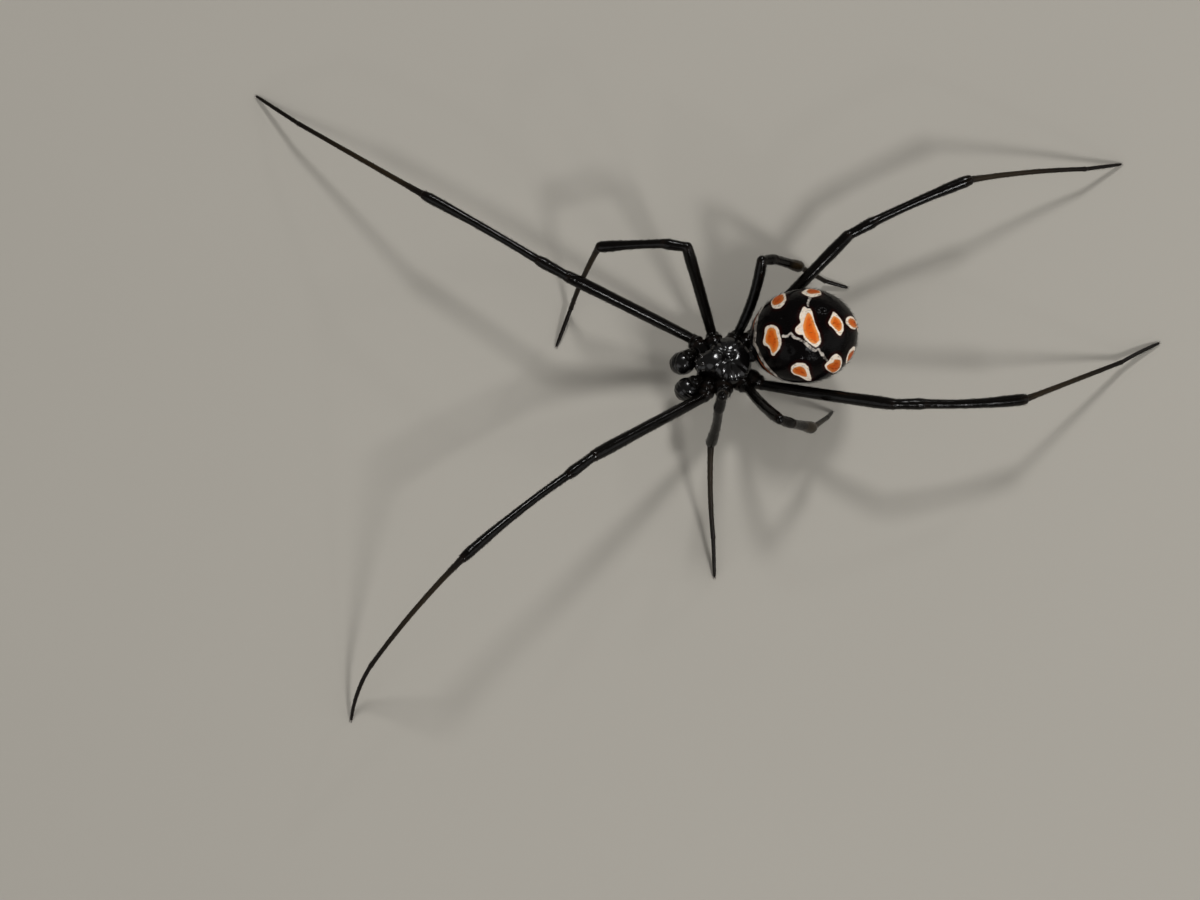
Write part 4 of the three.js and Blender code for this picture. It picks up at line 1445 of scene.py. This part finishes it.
def bristle_tree():
    """Geometry nodes that grow bristles where a skin is hairy, leaning the way its hairs lie."""
    tree = bpy.data.node_groups.new("Grow bristles", "GeometryNodeTree")
    tree.interface.new_socket(name="Skin", in_out="INPUT", socket_type="NodeSocketGeometry")
    for name, kind in (("Bristle", "Object"), ("Density", "Float"), ("Length", "Float"), ("Lift", "Float"),
                       ("Seed", "Int"), ("Finish", "Material")):
        tree.interface.new_socket(name=name, in_out="INPUT", socket_type=f"NodeSocket{kind}")
    tree.interface.new_socket(name="Bristles", in_out="OUTPUT", socket_type="NodeSocketGeometry")
    given = tree.nodes.new("NodeGroupInput").outputs
    made = tree.nodes.new("NodeGroupOutput").inputs

    def named(name, kind):
        node = wire(tree, "GeometryNodeInputNamedAttribute", {"Name": name}, data_type=kind)
        return enabled(node.outputs, "Attribute")

    def vector(operation, inputs):
        return wire(tree, "ShaderNodeVectorMath", inputs, operation=operation).outputs["Vector"]

    density = maths(tree, "MULTIPLY", given["Density"], named("hairy", "FLOAT"))
    skin = {"Mesh": given["Skin"], "Seed": given["Seed"]}
    points = wire(tree, "GeometryNodeDistributePointsOnFaces", skin, distribute_method="RANDOM")
    tree.links.new(density, enabled(points.inputs, "Density"))
    lie = named("lie", "FLOAT_VECTOR")
    stray = wire(tree, "FunctionNodeRandomValue", {"Seed": 3}, data_type="FLOAT_VECTOR")
    enabled(stray.inputs, "Min").default_value = [-BRISTLE_STRAY] * 3
    enabled(stray.inputs, "Max").default_value = [BRISTLE_STRAY] * 3
    lift = vector("SCALE", {0: points.outputs["Normal"], "Scale": given["Lift"]})
    lifted = vector("ADD", {0: lie, 1: lift})
    way = vector("ADD", {0: lifted, 1: enabled(stray.outputs, "Value")})
    axes = {"Primary Axis": way, "Secondary Axis": lie}
    turn = wire(tree, "FunctionNodeAxesToRotation", axes, primary_axis="Z", secondary_axis="X")
    size = wire(tree, "FunctionNodeRandomValue", {"Seed": 5}, data_type="FLOAT")
    shortest, longest = BRISTLE_SIZES
    enabled(size.inputs, "Min").default_value = shortest
    enabled(size.inputs, "Max").default_value = longest
    length = maths(tree, "MULTIPLY", given["Length"], enabled(size.outputs, "Value"))
    spike = wire(tree, "GeometryNodeObjectInfo", {"Object": given["Bristle"]}).outputs["Geometry"]
    grown = wire(tree, "GeometryNodeInstanceOnPoints", {
        "Points": points.outputs["Points"],
        "Instance": spike,
        "Rotation": turn.outputs["Rotation"],
        "Scale": length,
    })
    real = wire(tree, "GeometryNodeRealizeInstances", {"Geometry": grown.outputs["Instances"]})
    spot = vector("ADD", {0: named("skin_map", "FLOAT_VECTOR"), 1: named("patch", "FLOAT_VECTOR")})
    bare = {"Geometry": real.outputs["Geometry"], "Name": "OFBake"}
    store = wire(tree, "GeometryNodeStoreNamedAttribute", bare, data_type="FLOAT2", domain="CORNER")
    tree.links.new(spot, enabled(store.inputs, "Value"))
    mapped = {"Geometry": store.outputs["Geometry"], "Material": given["Finish"]}
    painted = wire(tree, "GeometryNodeSetMaterial", mapped)
    tree.links.new(painted.outputs["Geometry"], made["Bristles"])
    return tree


def grow_bristles(tree, spike, skin, density, length, lift, seed):
    """Grows bristles on one skin and keeps them as a piece of their own."""
    carrier = bpy.data.objects.new("carrier", skin.data.copy())
    bpy.context.scene.collection.objects.link(carrier)
    modifier = carrier.modifiers.new("Bristles", "NODES")
    modifier.node_group = tree
    values = {
        "Bristle": spike, "Density": density / MM**2, "Length": length, "Lift": lift, "Seed": seed,
        "Finish": finishes()["bristle"],
    }
    for item in tree.interface.items_tree:
        if item.in_out == "INPUT" and item.name in values:
            modifier[item.identifier] = values[item.name]
    carrier.update_tag()
    seen = carrier.evaluated_get(bpy.context.evaluated_depsgraph_get())
    mesh = bpy.data.meshes.new_from_object(seen)
    bare_skin = carrier.data
    carrier.modifiers.clear()
    bpy.data.objects.remove(carrier)
    bpy.data.meshes.remove(bare_skin)
    if not len(mesh.polygons):
        raise RuntimeError(f"no bristles grew on {skin.name}")
    for name in ("skin_map", "patch", "lie", "hairy", "joint", "outward", *MARKS):
        if name in mesh.attributes:
            mesh.attributes.remove(mesh.attributes[name])
    mesh.name = skin.name.replace("_skin", "") + "_bristles"
    points = points_of(mesh)
    points[:, 2] = np.maximum(points[:, 2], BRISTLE_CLEARANCE)
    set_points(mesh, points)
    mesh.shade_smooth()
    return add_piece(mesh, finishes()["bristle"])


def hairs_along(mesh, way, hairy):
    """Marks a body skin with its hair: how dense it is and the way it lies."""
    points = points_of(mesh)
    normals = np.zeros(len(points) * 3)
    mesh.vertex_normals.foreach_get("vector", normals)
    normals = normals.reshape(-1, 3)
    way = np.broadcast_to(np.asarray(way, float), points.shape)
    flat = way - normals * np.einsum("ij,ij->i", way, normals)[:, None]
    write_vector(mesh, "lie", unit(flat + 1e-6))
    write_value(mesh, "hairy", hairy)


# Operators


class SPIDER_OT_legs(bpy.types.Operator):
    """Make the skins of the eight legs, their claws and the combs of the hind feet"""

    bl_idname = "spider.legs"
    bl_label = "Legs"

    def execute(self, context):
        claws, combs = [], []
        for name in LEG_POSES:
            leg_skins(name)
            claws += claw_shells(name)
            if name[3] == "4":
                combs += comb_shells(name)
        add_piece(mesh_of("claws", claws), finishes()["fang"])
        add_piece(mesh_of("hind_foot_combs", combs), finishes()["bristle"])
        return {"FINISHED"}


class SPIDER_OT_carapace(bpy.types.Operator):
    """Make the skin of the carapace, the sternum, the waist and the mouth lobes"""

    bl_idname = "spider.carapace"
    bl_label = "Carapace and sternum"

    def execute(self, context):
        shell = finishes()["shell"]
        upper = mesh_of("carapace_skin", [carapace_shell()])
        height = points_of(upper)[:, 2] / MM
        hairy = 0.45 * smooth(CARAPACE["rim"] - 0.1, CARAPACE["rim"] + 0.2, height)
        hairs_along(upper, (0, 1, -0.3), hairy)
        add_piece(upper, shell, ["carapace"])
        lower = mesh_of("sternum_skin", [ball(80, 60, sternum_place).moved(FRONT_BODY)])
        depth = points_of(lower)[:, 2] / MM
        hairs_along(lower, (0, 1, 0), smooth(STERNUM["bottom"] + 0.3, STERNUM["bottom"] + 0.1, depth))
        add_piece(lower, shell, ["sternum"])
        add_piece(mesh_of("pedicel_skin", [pedicel_shell()]), shell, ["pedicel"])
        add_piece(mesh_of("mouth_lobes", mouth_shells()), shell)
        return {"FINISHED"}


class SPIDER_OT_head(bpy.types.Operator):
    """Make the eyes, jaws and palps"""

    bl_idname = "spider.head"
    bl_label = "Eyes, jaws and palps"

    def execute(self, context):
        made = finishes()
        for name, spot in EYES.items():
            for side_name, side in SIDES.items():
                lens = egg(eye_point(spot, side), [EYE_RADIUS] * 3, 32, 22)
                mesh = mesh_of(f"eye_{name}_{side_name}_lens", [lens.moved(FRONT_BODY)])
                add_piece(mesh, made["eye"], [f"eye_{name}_{side_name}"])
        for side_name in SIDES:
            base, fang = chelicera_shells(side_name)
            mesh = mesh_of(f"chelicera_{side_name}_skin", [base])
            hairs_along(mesh, (0, 0, -1), np.full(len(base.points), 0.6))
            add_piece(mesh, made["shell"], [f"chelicera_{side_name}"])
            add_piece(mesh_of(f"fang_{side_name}", [fang]), made["fang"])
            stalk = mesh_of(f"palp_{side_name}_skin", palp_shells(side_name))
            hairs_along(stalk, (0, -1, 0), np.full(len(stalk.vertices), 1.0))
            for name in ("joint", "outward"):
                write_value(stalk, name, np.zeros(len(stalk.vertices)))
            add_piece(stalk, made["leg"], [f"palp_{side_name}"])
            bulb = mesh_of(f"palp_bulb_{side_name}_skin", [bulb_shell(side_name)])
            behind = smooth(-1.55, -1.3, points_of(bulb)[:, 1] / MM - SHIFT[1])
            hairs_along(bulb, (0, -1, 0), np.maximum(behind, 0.12))
            add_piece(bulb, made["shell"], [f"palp_bulb_{side_name}"])
            add_piece(mesh_of(f"palp_duct_{side_name}", [embolus_shell(side_name)]), made["fang"])
        return {"FINISHED"}


class SPIDER_OT_abdomen(bpy.types.Operator):
    """Make the marked skin of the abdomen and the spinnerets"""

    bl_idname = "spider.abdomen"
    bl_label = "Abdomen"

    def execute(self, context):
        shell = abdomen_shell()
        mesh = mesh_of("abdomen_skin", [shell])
        points = shell.points
        streaks = [line_distance(points, stops, radius) for stops, radius in STREAKS]
        spots = np.stack([outline_distance(points, outline) for outline, _, _ in SPOTS])
        cores = np.stack([outline_distance(points, core) for _, core, _ in SPOTS])
        # Each point takes the painted shade of the spot nearest it, which darkens that spot's core.
        dusk = np.array([shade for _, _, shade in SPOTS])
        write_value(mesh, "spot", spots.min(axis=0))
        write_value(mesh, "core", cores.min(axis=0))
        write_value(mesh, "dusk", dusk[spots.argmin(axis=0)])
        write_value(mesh, "front_edge", edge_distance(points, FRONT_EDGE))
        write_value(mesh, "streak", np.minimum.reduce(streaks))
        write_value(mesh, "rusty_edge", edge_distance(points, RUSTY_EDGE))
        ovals = [oval_distance(points, row) for row in BELLY_MARKS]
        write_value(mesh, "belly", np.minimum.reduce(ovals))
        hairs_along(mesh, (0, 1, -0.2), np.full(len(points), 1.0))
        add_piece(mesh, finishes()["hide"], ["abdomen"])
        tail = mesh_of("spinnerets_skin", spinneret_shells())
        hairs_along(tail, (0, 0.5, -0.85), np.full(len(tail.vertices), 1.0))
        add_piece(tail, finishes()["shell"], ["spinnerets"])
        return {"FINISHED"}


class SPIDER_OT_bristles(bpy.types.Operator):
    """Grow the fine bristles on the legs and the body"""

    bl_idname = "spider.bristles"
    bl_label = "Bristles"

    def execute(self, context):
        settings = context.scene.spider_bristles
        leg = (settings.leg_density, settings.leg_length)
        body = (settings.body_density, settings.body_length)
        rows = [(f"{name}_{part}", leg, row) for name in LEG_POSES for part, row in LEG_BRISTLES.items()]
        rows += [(part, body, row) for part, row in BODY_BRISTLES.items()]
        rows += [(f"{part}_{side}", body, row) for side in SIDES for part, row in SIDE_BRISTLES.items()]
        tree = bristle_tree()
        spike = bpy.data.objects.new("bristle", bristle_mesh())
        for seed, (part, (density, length), row) in enumerate(rows, FIRST_SEED):
            crowding, size, lift, slot = row
            skin = bpy.data.objects[f"{part}_skin"]
            grow_bristles(tree, spike, skin, density * crowding, length * size, lift, seed)
        data = spike.data
        bpy.data.objects.remove(spike)
        bpy.data.meshes.remove(data)
        return {"FINISHED"}


def add_lamp(name, power, size, place):
    lamp = bpy.data.lights.new(name, "AREA")
    lamp.energy = power
    lamp.shape = "RECTANGLE"
    lamp.size = size
    lamp.size_y = size
    holder = bpy.data.objects.new(name, lamp)
    bpy.context.scene.collection.objects.link(holder)
    holder.location = place
    holder.rotation_euler = (LAMP_TARGET - place).to_track_quat("-Z", "Y").to_euler()


class SPIDER_OT_stage(bpy.types.Operator):
    """Set up the floor, the lamps and the camera"""

    bl_idname = "spider.stage"
    bl_label = "Floor, light and camera"

    def execute(self, context):
        stage = context.scene.spider_stage
        self.add_floor(stage)
        world = bpy.data.worlds.new("Sky")
        world.use_nodes = True
        sky = world.node_tree.nodes["Background"]
        sky.inputs["Color"].default_value = SKY_COLOUR
        sky.inputs["Strength"].default_value = stage.sky
        context.scene.world = world
        for power, size, distance, lamps in LAMPS:
            for name, heading, height in lamps:
                place = distance * heading_vector(1, heading, height)
                add_lamp(name, getattr(stage, power), size, place)
        context.scene.view_settings.view_transform = "Standard"
        self.add_camera(context)
        return {"FINISHED"}

    def add_floor(self, stage):
        signs = ((-1, -1), (1, -1), (1, 1), (-1, 1))
        corners = [(FLOOR_HALF * x, FLOOR_HALF * y, 0) for x, y in signs]
        mesh = bpy.data.meshes.new("floor")
        mesh.from_pydata(corners, [], [(0, 1, 2, 3)])
        floor = bpy.data.objects.new("floor", mesh)
        bpy.context.scene.collection.objects.link(floor)
        material, tree, shader, place = principled("Floor", Roughness=0.85)
        cloud = noise_in(tree, place, 30.0, 4.0)
        tone = tuple(stage.floor)
        darker = tuple(part * 0.93 for part in tone)
        tree.links.new(blended(tree, cloud, darker, tone), shader.inputs["Base Color"])
        mesh.materials.append(material)

    def add_camera(self, context):
        azimuth, elevation = math.radians(VIEW_AZIMUTH), math.radians(VIEW_ELEVATION)
        level = math.cos(elevation)
        back = Vector((math.sin(azimuth) * level, -math.cos(azimuth) * level, math.sin(elevation)))
        right = Vector((math.cos(azimuth), math.sin(azimuth), 0))
        up = back.cross(right)
        data = bpy.data.cameras.new("Camera")
        data.sensor_width = SENSOR_WIDTH
        data.lens = SENSOR_WIDTH / 2 / math.tan(math.radians(VIEW_ANGLE / 2))
        data.clip_start = 0.001
        data.clip_end = 20.0
        camera = bpy.data.objects.new("Camera", data)
        context.scene.collection.objects.link(camera)
        place = (VIEW_TARGET + Vector(SHIFT) + back * VIEW_DISTANCE) * MM
        turn = Matrix((right, up, back)).transposed().to_4x4()
        camera.matrix_world = Matrix.Translation(place) @ turn
        context.scene.camera = camera


class SPIDER_PT_panel(bpy.types.Panel):
    """Buttons and sizes of the spider model"""

    bl_label = "Widow Spider"
    bl_idname = "SPIDER_PT_panel"
    bl_space_type = "VIEW_3D"
    bl_region_type = "UI"
    bl_category = "Widow Spider"

    def draw(self, context):
        for operator in OPERATORS:
            self.layout.operator(operator.bl_idname)
        for label, settings in SETTINGS.items():
            box = self.layout.box()
            group = getattr(context.scene, label)
            for name in settings.__annotations__:
                box.prop(group, name)


OPERATORS = (
    SPIDER_OT_stage,
    SPIDER_OT_legs,
    SPIDER_OT_carapace,
    SPIDER_OT_head,
    SPIDER_OT_abdomen,
    SPIDER_OT_bristles,
)
SETTINGS = {
    "spider_cuticle": SpiderCuticle,
    "spider_markings": SpiderMarkings,
    "spider_bristles": SpiderBristles,
    "spider_stage": SpiderStage,
}
CLASSES = (*SETTINGS.values(), *OPERATORS, SPIDER_PT_panel)


def register():
    for item in CLASSES:
        bpy.utils.register_class(item)
    for label, settings in SETTINGS.items():
        setattr(bpy.types.Scene, label, PointerProperty(type=settings))


def unregister():
    for label in SETTINGS:
        delattr(bpy.types.Scene, label)
    for item in reversed(CLASSES):
        bpy.utils.unregister_class(item)


def main():
    register()
    bpy.ops.spider.stage()
    bpy.ops.spider.legs()
    bpy.ops.spider.carapace()
    bpy.ops.spider.head()
    bpy.ops.spider.abdomen()
    bpy.ops.spider.bristles()
    bpy.context.view_layer.update()


if __name__ == "__main__":
    main()
